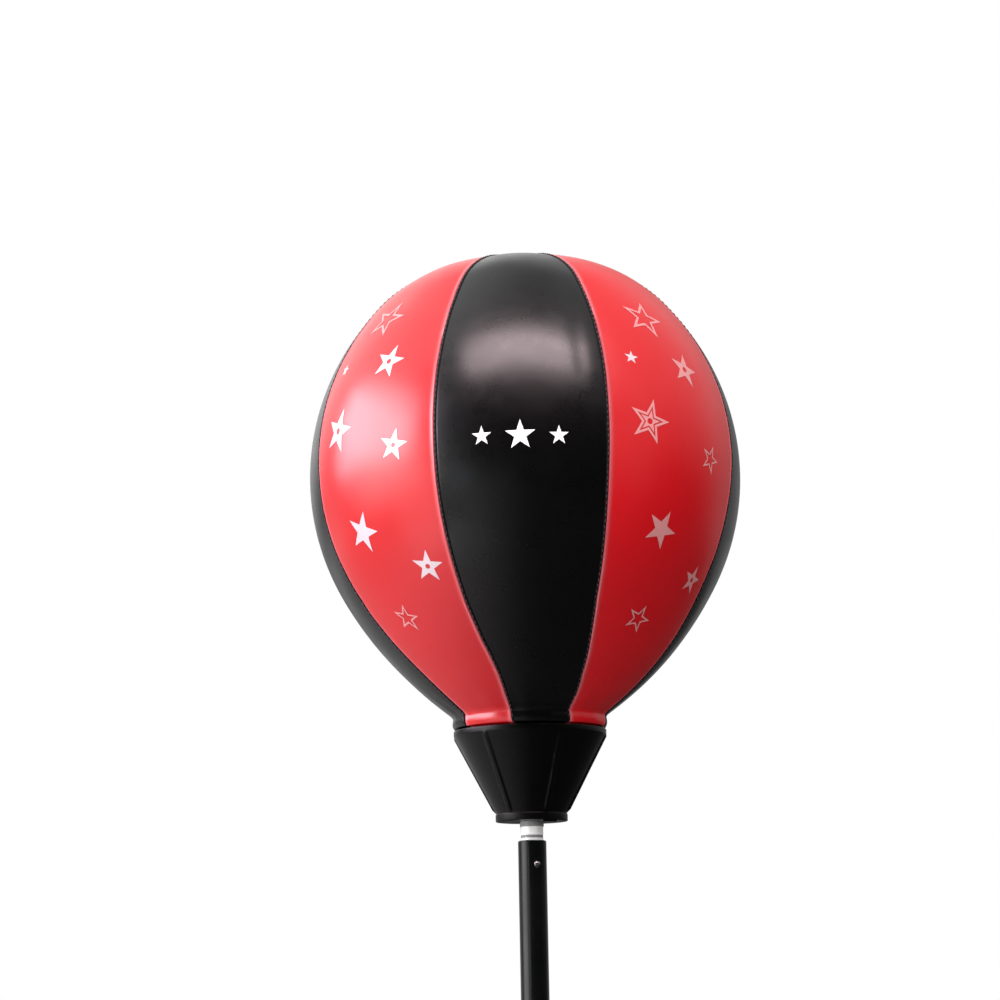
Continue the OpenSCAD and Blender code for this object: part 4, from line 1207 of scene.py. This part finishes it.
def make_button_leaf(name, node, height, flange_r, bore_r, width, reach):
    """A spring leaf bent to a V, from the tube's far wall to the back of a button's flange."""
    front = math.sqrt(bore_r ** 2 - flange_r ** 2) - BUTTON_SEAT - LEAF_T / 2
    back = -math.sqrt(bore_r ** 2 - width ** 2 / 4) + 0.1 + LEAF_T / 2
    bends = rounded([(-reach * 0.4, back), (reach, back, 0.9), (reach * 1.1, back + 1.0, 0.7),
                     (flange_r, front, 1.5), (-flange_r, front)], 6)
    far = np.r_[0, np.cumsum(np.linalg.norm(np.diff(bends, axis=0), axis=1))]
    stops = np.linspace(0, far[-1], LEAF_POINTS)
    path = np.stack([np.interp(stops, far, np.array(bends)[:, k]) for k in (0, 1)], 1)
    along = np.gradient(path, axis=0)
    along /= np.linalg.norm(along, axis=1, keepdims=True)
    normal = np.stack([-along[:, 1], along[:, 0]], 1)
    turn = math.radians(BUTTON_TURN)
    outwards = np.array([math.sin(turn), -math.cos(turn), 0.0])
    sideways = np.array([math.cos(turn), math.sin(turn), 0.0])
    half, t, cut = width / 2, LEAF_T / 2, LEAF_EDGE
    section = [(-half + cut, -t), (half - cut, -t), (half, -t + cut), (half, t - cut),
               (half - cut, t), (-half + cut, t), (-half, t - cut), (-half, -t + cut)]
    points = []
    for (down, out), n in zip(path, normal):
        for side, lift in section:
            place = outwards * (out + n[1] * lift) + sideways * side
            place[2] = height - down - n[0] * lift
            points.append(place)
    points = np.array(points)
    faces = outward(points, tube_faces(len(path), len(section)))
    leaf = add_piece(name, points, faces, BARE_STEEL, None, "bare_steel", [node], 50)
    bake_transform(leaf)


# ---------------------------------------------------------------- spring

# How high the wire rises from a plug before it lies over into the coil, and how far it turns
COIL_END_H = 10.4
COIL_END_TURN = 0.45
POINTS_PER_TURN = 28
END_POINTS = 12
WIRE_SIDES = 14


def half_spring(name, lower):
    """Half of the coil, swept along a smooth helix with an upright end that stands on a plug."""
    pitch = (SPRING_L - 2 * COIL_END_H) / COIL_TURNS
    middle_turn = COIL_TURNS // 2 * POINTS_PER_TURN
    first, last = (0, middle_turn) if lower else (middle_turn, COIL_TURNS * POINTS_PER_TURN)
    coil = [(2 * math.pi * t, COIL_END_H + pitch * t)
            for t in np.arange(first, last + 1) / POINTS_PER_TURN]
    # Away from its plug the wire rises upright, then lies over into the coil
    ends = [(t ** 1.6 * COIL_END_TURN, COIL_END_H * (1 - (1 - t) ** 1.7) * 0.98)
            for t in np.linspace(0, 1, END_POINTS)[:-1]]
    if lower:
        stops = [(turn - COIL_END_TURN, height) for turn, height in ends] + coil
    else:
        full = 2 * math.pi * COIL_TURNS + COIL_END_TURN
        stops = coil + [(full - turn, SPRING_L - height) for turn, height in ends[::-1]]
    path = np.array([(COIL_R * math.cos(a), COIL_R * math.sin(a), SPRING_FOOT_Z + h)
                     for a, h in stops])
    tangent = np.gradient(path, axis=0)
    tangent /= np.linalg.norm(tangent, axis=1, keepdims=True)
    points = []
    for p, t, (a, _) in zip(path, tangent, stops):
        radial = np.array([math.cos(a), math.sin(a), 0.0])
        radial -= t * (radial @ t)
        radial /= np.linalg.norm(radial)
        other = np.cross(t, radial)
        for k in range(WIRE_SIDES):
            b = 2 * math.pi * k / WIRE_SIDES
            points.append(p + WIRE_R * (math.cos(b) * radial + math.sin(b) * other))
    rows = len(path)
    faces = grid_faces(rows, WIRE_SIDES, wrap_cols=True)
    faces.append(tuple(range(WIRE_SIDES))[::-1])
    faces.append(tuple((rows - 1) * WIRE_SIDES + k for k in range(WIRE_SIDES)))
    piece = add_piece(name, points, faces, SPRING_STEEL, None, "spring_steel",
                      ["reflex_spring"], 60)
    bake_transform(piece)


# The holes of the two cups round the coil's ends, their walls, and the height of the ridge
LOWER_CUP_HOLE_R = 5.2
UPPER_CUP_HOLE_R = 13.9
SKIRT_WALL = 3.0
SKIRT_PLATE_H = 4.0
RIDGE_Z = 6.0
UPPER_CUP_OVER = 9.0


def make_spring_cups():
    """The plastic cups round the coil's two ends."""
    def cup(hole):
        return [(hole, 0.0, 0.4), (SKIRT_R, 0.0, 1.2), (SKIRT_R + 0.3, RIDGE_Z, 0.5),
                (SKIRT_R + 0.3, RIDGE_Z + 1.2, 0.3), (SKIRT_R - 0.2, RIDGE_Z + 1.6, 0.3),
                (SKIRT_R - 0.2, SKIRT_H, 1.3), (SKIRT_R - SKIRT_WALL, SKIRT_H, 1.2),
                (SKIRT_R - SKIRT_WALL, SKIRT_PLATE_H, 1.0), (hole, SKIRT_PLATE_H, 0.4)]
    lower = [(r, BASE_H + z, radius) for r, z, radius in cup(LOWER_CUP_HOLE_R)]
    turned("lower_spring_skirt", lower, FITTING_PLASTIC, "base", "fitting_plastic",
           ["lower_spring_cup"], closed=True)
    top = SPRING_FOOT_Z + SPRING_L + UPPER_CUP_OVER
    upper = [(r, top - z, radius) for r, z, radius in cup(UPPER_CUP_HOLE_R)][::-1]
    turned("upper_spring_skirt", upper, FITTING_PLASTIC, "lower_pole", "fitting_plastic",
           ["upper_spring_cup"], closed=True)


# ---------------------------------------------------------------- pole collar and base

# The pole collar's grip: its radius, the depth and number of its finger grooves, and how far
# the collar reaches down and up from the lower pole's top
GRIP_R = 13.0
GRIP_GROOVE = 0.55
GRIP_GROOVES = 5
COLLAR_DOWN = 18.0
COLLAR_UP = 10.0


def make_pole_collar():
    """The collar at the lower pole's end, with finger grooves round its grip."""
    foot, top = LOWER_TOP_Z - COLLAR_DOWN, LOWER_TOP_Z + COLLAR_UP
    bore_r, upper_bore_r = LOWER_R + 0.1, UPPER_R + 0.3
    groove_r = GRIP_R - GRIP_GROOVE
    profile = [(bore_r, foot, 0.3), (12.4, foot, 0.8), (GRIP_R, foot + 2.0, 0.6)]
    for z in np.linspace(foot + 4.0, foot + 18.0, GRIP_GROOVES):
        profile += [(GRIP_R, z - 0.9, 0.4), (groove_r, z - 0.4, 0.3), (groove_r, z + 0.4, 0.3),
                    (GRIP_R, z + 0.9, 0.4)]
    profile += [(GRIP_R, foot + 21.0, 1.0), (10.2, top, 1.2), (upper_bore_r, top, 0.4),
                (upper_bore_r, LOWER_TOP_Z + 0.1), (bore_r, LOWER_TOP_Z + 0.1)]
    turned("pole_collar_grip", profile, FITTING_PLASTIC, "lower_pole", "fitting_plastic",
           ["pole_collar"], 72, closed=True)


def top_slope():
    """How steeply the tank's top falls away, in radians."""
    w = BASE_R - BASE_ROUND - BOSS_R
    h = BASE_H - BOSS_RISE - RIM_WALL_H
    return math.acos(BASE_ROUND / math.hypot(w, h)) - math.atan2(w, h)


def slope_z(r):
    """The height of the tank's sloping top at a radius."""
    t = top_slope()
    edge = BASE_R - BASE_ROUND + BASE_ROUND * math.sin(t)
    return RIM_WALL_H + BASE_ROUND * math.cos(t) + (edge - r) * math.tan(t)


# The flat pad round the filler, and the tank's underside
PAD_Z = slope_z(FILLER_Y - PAD_R) + 0.6
COLUMN_R = 26.0
COLUMN_FOOT_Z = 14.0
BOLT_HOLE_R = 5.2
# The parting line round the rim wall, and the groove round the ribbed top
PARTING_Z = 19.0
PARTING_RISE = 0.5
TOP_GROOVE_R = 168.0
# The ribs of the top run between these radii
TOP_RIBS = 12
TOP_RIB_FROM = 62.0
TOP_RIB_TO = 160.0
TOP_RIB_RISE = 1.5
TOP_RIB_HALF_W = 4.2
# The tank's underside near its rim: distance in from the rim, height, radius of the corner
UNDERSIDE = [(16.0, 0.0, 1.0), (14.0, 1.2, 1.0), (10.0, 1.2, 1.0), (7.0, 0.8, 2.0)]
# The groove round the top: distance in from its outer edge, depth, radius of the corner
TOP_GROOVE = [(0.0, 0.0, 1.0), (1.0, 1.4, 0.8), (3.4, 1.4, 0.8), (4.4, 0.0, 1.0)]
# The boss's flat top is sunk a little inside this radius
BOSS_EDGE_R = 31.0
BOSS_SINK = 0.6


def make_base():
    """The water tank: foot, rim wall with its parting line, shoulder, ribbed top and boss."""
    shoulder = [(BASE_R - BASE_ROUND + BASE_ROUND * math.cos(a),
                 RIM_WALL_H + BASE_ROUND * math.sin(a))
                for a in np.linspace(0, math.pi / 2 - top_slope(), 12)]
    seam_r = BASE_R + PARTING_RISE
    profile = [(BOLT_HOLE_R, COLUMN_FOOT_Z, 0.3), (COLUMN_R, COLUMN_FOOT_Z, 2.0),
               (COLUMN_R, 0.0, 1.5)]
    profile += [(BASE_R - inwards, height, radius) for inwards, height, radius in UNDERSIDE]
    profile += [(BASE_R, FOOT_EDGE, 3.0), (BASE_R, PARTING_Z - 0.4, 0.2),
                (seam_r, PARTING_Z, 0.2), (seam_r, PARTING_Z + 0.6, 0.2),
                (BASE_R, PARTING_Z + 1.0, 0.2)]
    profile += shoulder
    profile += [(r, slope_z(r)) for r in np.linspace(shoulder[-1][0], 172.0, 3)[1:]]
    profile += [(TOP_GROOVE_R - inwards, slope_z(TOP_GROOVE_R - inwards) - depth, radius)
                for inwards, depth, radius in TOP_GROOVE]
    profile += [(r, slope_z(r)) for r in np.linspace(TOP_RIB_TO, 56.0, 27)]
    profile += [(BOSS_R + 9.0, slope_z(BOSS_R + 9.0), 5.0), (BOSS_R + 0.8, slope_z(BOSS_R), 4.0),
                (BOSS_R, BASE_H, 2.2), (BOSS_EDGE_R, BASE_H, 0.5),
                (BOSS_EDGE_R - 0.6, BASE_H - BOSS_SINK, 0.5),
                (BOLT_HOLE_R, BASE_H - BOSS_SINK, 0.3)]

    def ribs(r, z, a):
        on_top = (z > 60) & (r < TOP_RIB_TO + 0.5) & (r > BOSS_R + 6)
        share = ramp(r, TOP_RIB_TO, TOP_RIB_TO - 8) * ramp(r, TOP_RIB_FROM, TOP_RIB_FROM + 8)
        rise = ribs_round(r, a, TOP_RIBS, 180.0 / TOP_RIBS, TOP_RIB_HALF_W, 3.0)
        return r, z + np.where(on_top, rise * share * TOP_RIB_RISE, 0.0)

    tank = turned("water_base", profile, BASE_PLASTIC, "base", "base_plastic",
                  ["base_tank", "water_ballast"], 288, closed=True, reshape=ribs, sharp=30)
    # The pad is joined on, then the filler hole and the cap's seat are cut
    cut_faces(tank, [(0.0, 50.0), (PAD_R, 50.0), (PAD_R, PAD_Z, 1.6), (0.0, PAD_Z)], "UNION")
    for radius, foot, top in ((FILLER_R, 40.0, PAD_Z + 20),
                              (FILLER_SEAT_R, PAD_Z - 1.2, PAD_Z + 9)):
        cut_faces(tank, [(0.0, foot), (radius, foot), (radius, top), (0.0, top)], "DIFFERENCE")


def cut_faces(obj, profile, operation):
    """Joins a turned form at the filler to obj, or cuts it out."""
    points, faces = lathe(rounded(profile))
    mesh = bpy.data.meshes.new("cutter")
    mesh.from_pydata(((points + [0, FILLER_Y, 0]) * MM).tolist(), [], faces)
    cutter = bpy.data.objects.new("cutter", mesh)
    scene.collection.objects.link(cutter)
    modifier = obj.modifiers.new("cut", "BOOLEAN")
    modifier.operation = operation
    modifier.solver = "EXACT"
    modifier.object = cutter
    graph = bpy.context.evaluated_depsgraph_get()
    made = bpy.data.meshes.new_from_object(obj.evaluated_get(graph))
    obj.modifiers.clear()
    material = obj.data.materials[0]
    obj.data = made
    made.materials.clear()
    made.materials.append(material)
    made.shade_smooth()
    made.set_sharp_from_angle(angle=math.radians(28))
    bpy.data.objects.remove(cutter)


# The filler cap: its plug in the hole, its knurled flange, and the bar to turn it by
CAP_PLUG_R = 18.4
CAP_PLUG_DEEP = 12.0
CAP_R = 25.0
CAP_TOP = 5.0
KNURLS = 36
KNURL_RISE = 0.35
BAR_HALF_L = 18.6
BAR_HALF_W = 4.2
BAR_TOP = 9.6
BAR_POINTS = 48


def make_filler_cap():
    """The filler cap: a knurled rim and a raised grip bar."""
    profile = [(0.0, PAD_Z - CAP_PLUG_DEEP), (CAP_PLUG_R, PAD_Z - CAP_PLUG_DEEP, 1.0),
               (CAP_PLUG_R + 0.2, PAD_Z - 0.2, 0.2), (CAP_R - 0.4, PAD_Z + 0.05, 0.3),
               (CAP_R, PAD_Z + 0.8, 0.3), (CAP_R, PAD_Z + 3.6, 0.8),
               (CAP_R - 1.6, PAD_Z + CAP_TOP, 0.8), (20.0, PAD_Z + CAP_TOP, 0.6),
               (19.0, PAD_Z + 4.2, 0.6), (0.0, PAD_Z + 4.2)]

    def knurl(r, z, a):
        rim = (r > CAP_R - 0.8) & (z > PAD_Z + 0.5) & (z < PAD_Z + 4.2)
        return np.where(rim, r + KNURL_RISE * np.abs(np.sin(a * KNURLS)), r), z

    cap = lathe(rounded(profile), 288, reshape=knurl)
    rings = ((3.5, -0.6), (CAP_TOP, 0.0), (BAR_TOP - 1.2, 0.5), (BAR_TOP - 0.3, 1.0),
             (BAR_TOP, 2.0))
    bar = []
    for height, inset in rings:
        for k in range(BAR_POINTS):
            a = 2 * math.pi * k / BAR_POINTS
            c, s = math.cos(a), math.sin(a)
            bar.append((math.copysign(abs(c) ** 0.35, c) * (BAR_HALF_L - inset),
                        math.copysign(abs(s) ** 0.55, s) * (BAR_HALF_W - inset * 0.8),
                        PAD_Z + height))
    last_ring = (len(rings) - 1) * BAR_POINTS
    faces = grid_faces(len(rings), BAR_POINTS, wrap_cols=True)
    faces.append(tuple(range(BAR_POINTS))[::-1])
    faces.append(tuple(last_ring + k for k in range(BAR_POINTS)))
    points, faces = joined([cap, (bar, faces)])
    add_piece("filler_screw_cap", points + np.array([0, FILLER_Y, 0]), faces, FITTING_PLASTIC,
              "filler_cap", "fitting_plastic", ["filler_cap"])


# ---------------------------------------------------------------- carried-over nodes

CAD_FINISHES = {
    "filler_gasket": BLACK_RUBBER, "base_bolt": BARE_STEEL, "base_washer": BARE_STEEL,
    "lower_spring_plug": BARE_STEEL, "upper_spring_plug": BARE_STEEL, "lower_pole": POLE_PAINT,
    "lower_pole_pin": BARE_STEEL, "upper_pole": POLE_PAINT, "pole_bottom_guide": FITTING_PLASTIC,
    "height_button": BUTTON_STEEL, "neck_insert": BARE_STEEL,
    "neck_button": BUTTON_STEEL, "clamp_plug": CUP_PLASTIC,
    "clamp_washer": BARE_STEEL, "clamp_bolt": BARE_STEEL, "bladder_valve": BLACK_RUBBER,
    "valve_eyelet": PLATED,
}


def dress_cad_nodes():
    for name, material in CAD_FINISHES.items():
        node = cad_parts[name]
        for held in node.material_slots:
            held.material = material


# ---------------------------------------------------------------- studio

# The studio floor: its radius in metres, and how pale the eye sees it
FLOOR_R = 9.0
FLOOR_SIDES = 48
FLOOR_PAINT = (0.56, 0.59)
FLOOR_GLOW = 0.3


def make_floor():
    """A round pale floor. Only the eye sees it pale: what it throws back on the bag is dark but
    for the left."""
    mesh = bpy.data.meshes.new("studio_floor")
    angles = (2 * math.pi * k / FLOOR_SIDES for k in range(FLOOR_SIDES))
    points = [(FLOOR_R * math.cos(a), FLOOR_R * math.sin(a), 0.0) for a in angles]
    mesh.from_pydata(points, [], [tuple(range(FLOOR_SIDES))])
    floor = bpy.data.objects.new("studio_floor", mesh)
    scene.collection.objects.link(floor)
    material, tree, shader = new_material("floor_paint")
    speckle = map_range(tree, noise(tree, 3.0, 3.0, 0.6), 0.3, 0.7, 0.0, 1.0)
    pale = mix_colour(tree, speckle, *((level,) * 3 for level in FLOOR_PAINT))
    x = split(tree, object_place(tree))["X"]
    lit = map_range(tree, x, -1.0, 0.8, 0.95, 0.1)
    mirrored = map_range(tree, x, -1.8, -0.05, 0.75, 0.03)
    path = tree.nodes.new("ShaderNodeLightPath")
    share = mix_colour(tree, path.outputs["Is Glossy Ray"], lit, mirrored)
    tree.links.new(mix_colour(tree, path.outputs["Is Camera Ray"], share, pale),
                   shader.inputs["Base Color"])
    tree.links.new(mix_colour(tree, path.outputs["Is Camera Ray"], (0, 0, 0), (FLOOR_GLOW,) * 3),
                   shader.inputs["Emission Color"])
    shader.inputs["Emission Strength"].default_value = 1.0
    shader.inputs["Roughness"].default_value = 0.8
    mesh.materials.append(material)


# Lamps: name, place, what it is aimed at, size, watts, colour, and whether gloss mirrors it.
# Places and sizes are in metres
BALL_PLACE = (0.0, 0.0, 1.05)
LAMPS = [
    ("overhead_softbox", (0.0, -0.88, 2.2), BALL_PLACE, (1.44, 0.45), 26, (1.0, 0.80, 0.84), True),
    ("left_softbox", (-1.32, -0.11, 1.50), BALL_PLACE, (1.45, 0.6), 20, (1.0, 0.88, 1.0), True),
    ("left_strip", (-1.16, -1.62, 0.85), (0, 0, 0.8), (0.22, 0.26), 0.35, (0.8, 0.9, 1.0), True),
    ("right_fill", (1.9, -1.76, 1.85), BALL_PLACE, (2.4, 2.4), 42, (1, 1, 1), False),
    ("left_fill", (-1.7, -1.35, 0.35), BALL_PLACE, (1.2, 0.8), 19, (1, 1, 1), False),
]


def add_light(name, place, aim, size, watts, colour, in_gloss):
    data = bpy.data.lights.new(name, "AREA")
    data.shape = "RECTANGLE"
    data.size, data.size_y = size
    data.energy = watts
    data.color = colour
    lamp = bpy.data.objects.new(name, data)
    scene.collection.objects.link(lamp)
    lamp.location = place
    lamp.rotation_euler = (Vector(aim) - Vector(place)).to_track_quat("-Z", "Y").to_euler()
    lamp.visible_glossy = in_gloss


# Pale patches of the room that gloss mirrors: direction, where each starts, brightness
GLOWS = [
    ((0.6, 0.1, 0.8), 0.6, 0.62),
    ((-0.6, 0.1, 0.8), 0.76, 1.2),
    ((-0.95, -0.28, -0.1), 0.85, 2.3),
    ((-0.35, 0.8, 0.5), 0.88, 1.0),
]
GLOW_FULL = 0.97


def glow(tree, place, direction, low, top):
    """Brightness that rises towards one direction of the room."""
    dot = tree.nodes.new("ShaderNodeVectorMath")
    dot.operation = "DOT_PRODUCT"
    tree.links.new(place, dot.inputs[0])
    dot.inputs[1].default_value = Vector(direction).normalized()
    return map_range(tree, dot.outputs["Value"], low, GLOW_FULL, 0.0, top)


def room_mirrored(tree, place, x, y, z):
    """What gloss sees of the room: pale walls behind and beside, a darker room in front."""
    behind = map_range(tree, y, 0.25, 0.6, 0.0, 1.0)
    beyond = map_range(tree, x, -0.6, 0.6, 0.75, 0.28)
    beside = map_range(tree, x, -0.95, -0.35, 0.28, 0.025)
    # The left wall behind is pale only low down
    wall = math_node(tree, "MAXIMUM", map_range(tree, z, -0.05, 0.06, 1.0, 0.35),
                     map_range(tree, x, -0.25, 0.05, 0.0, 1.0))
    level = math_node(tree, "MULTIPLY", math_node(tree, "MULTIPLY", behind, beyond), wall)
    level = math_node(tree, "MAXIMUM", level, beside)
    for direction, low, top in GLOWS:
        level = math_node(tree, "ADD", level, glow(tree, place, direction, low, top))
    return level


def light_studio():
    """A room that is white to the eye, pale in gloss and dim in the light it gives, and lamps."""
    world = bpy.data.worlds.new("studio_world")
    scene.world = world
    world.use_nodes = True
    tree = world.node_tree
    background = tree.nodes["Background"]
    path = tree.nodes.new("ShaderNodeLightPath")
    place = tree.nodes.new("ShaderNodeTexCoord").outputs["Generated"]
    x, y, z = split(tree, place)
    mirrored = room_mirrored(tree, place, x, y, z)
    fill = math_node(tree, "MULTIPLY", map_range(tree, x, -1.0, 1.0, 1.15, 0.07),
                     map_range(tree, z, 0.0, 0.8, 1.15, 0.85))
    seen = math_node(tree, "MAXIMUM", path.outputs["Is Camera Ray"],
                     path.outputs["Is Transmission Ray"])
    glossy = math_node(tree, "MULTIPLY", path.outputs["Is Glossy Ray"], mirrored)
    other = math_node(tree, "SUBTRACT", 1.0, math_node(
        tree, "MAXIMUM", seen, path.outputs["Is Glossy Ray"]), clamp=True)
    level = math_node(tree, "ADD", seen, math_node(tree, "ADD", glossy, math_node(
        tree, "MULTIPLY", other, fill)))
    tree.links.new(level, background.inputs["Strength"])
    background.inputs["Color"].default_value = (1, 1, 1, 1)
    for lamp in LAMPS:
        add_light(*lamp)


# The camera, in metres. Where the belt's middle stands in a frame of this many pixels
FRAME_PX = 1000
BELT_PX = (525.5, 479.0)
LENS_MM = 94.3
SENSOR_MM = 36.0
CAMERA_AIM_Z = 1.0505
CAMERA_FAR = 1.488
CAMERA_UNDER_BELT = 0.2976
CAMERA_ROLL = -1.117


def place_camera():
    """A long lens from a little below the ball, rolled by about a degree."""
    data = bpy.data.cameras.new("camera")
    data.sensor_width = SENSOR_MM
    data.lens = LENS_MM
    data.clip_end = 50.0
    camera = bpy.data.objects.new("camera", data)
    scene.collection.objects.link(camera)
    place = Vector((0.0, -CAMERA_FAR, CAMERA_AIM_Z - CAMERA_UNDER_BELT))
    forward = (Vector((0.0, 0.0, CAMERA_AIM_Z)) - place).normalized()
    turn = forward.to_track_quat("-Z", "Y").to_matrix()
    roll = Matrix.Rotation(math.radians(CAMERA_ROLL), 3, "Z")
    # The belt's middle lies a little right of and above the middle of the frame
    px_far = LENS_MM / SENSOR_MM * FRAME_PX
    yaw, tilt = (Matrix.Rotation(math.atan((at - FRAME_PX / 2) / px_far), 3, axis)
                 for at, axis in zip(BELT_PX, ("Y", "X")))
    camera.matrix_world = Matrix.Translation(place) @ (turn @ tilt @ yaw @ roll).to_4x4()
    scene.camera = camera


place_camera()
make_floor()
light_studio()
for number in range(PANELS):
    make_panel(number)
make_seam_shade_strips()
make_seam_threads()
make_crown_patch()
make_bladder()
# The stars that catch the light take the paler copy of the ink, the dimmer ones the darker copy
make_prints("left_star_prints", 7, LEFT_STARS, INK_LIT_COPY, "leather_red")
make_prints("left_sheer_prints", 7, LEFT_OUTLINES, INK_SHADED_COPY, "leather_red")
make_prints("right_sheer_prints", 1, RIGHT_STARS, INK_SHADED_COPY, "leather_red")
make_prints("right_small_print", 1, RIGHT_SMALL_STAR, INK_LIT_COPY, "leather_red")
make_prints("front_star_prints", 0, FRONT_STARS, WHITE_INK, "leather_black")
make_cup()
make_neck()
make_button_leaf("height_button_leaf", "height_button_clip", HEIGHT_BUTTON_Z,
                 4.2, 6.5, 4.8, 13.8)
make_button_leaf("neck_button_leaf", "neck_button_clip", NECK_BUTTON_Z,
                 2.6, 5.15, 3.4, 14.96)
half_spring("spring_lower_half", True)
half_spring("spring_upper_half", False)
make_spring_cups()
make_pole_collar()
make_base()
make_filler_cap()
dress_cad_nodes()

scene.view_settings.view_transform = "Standard"
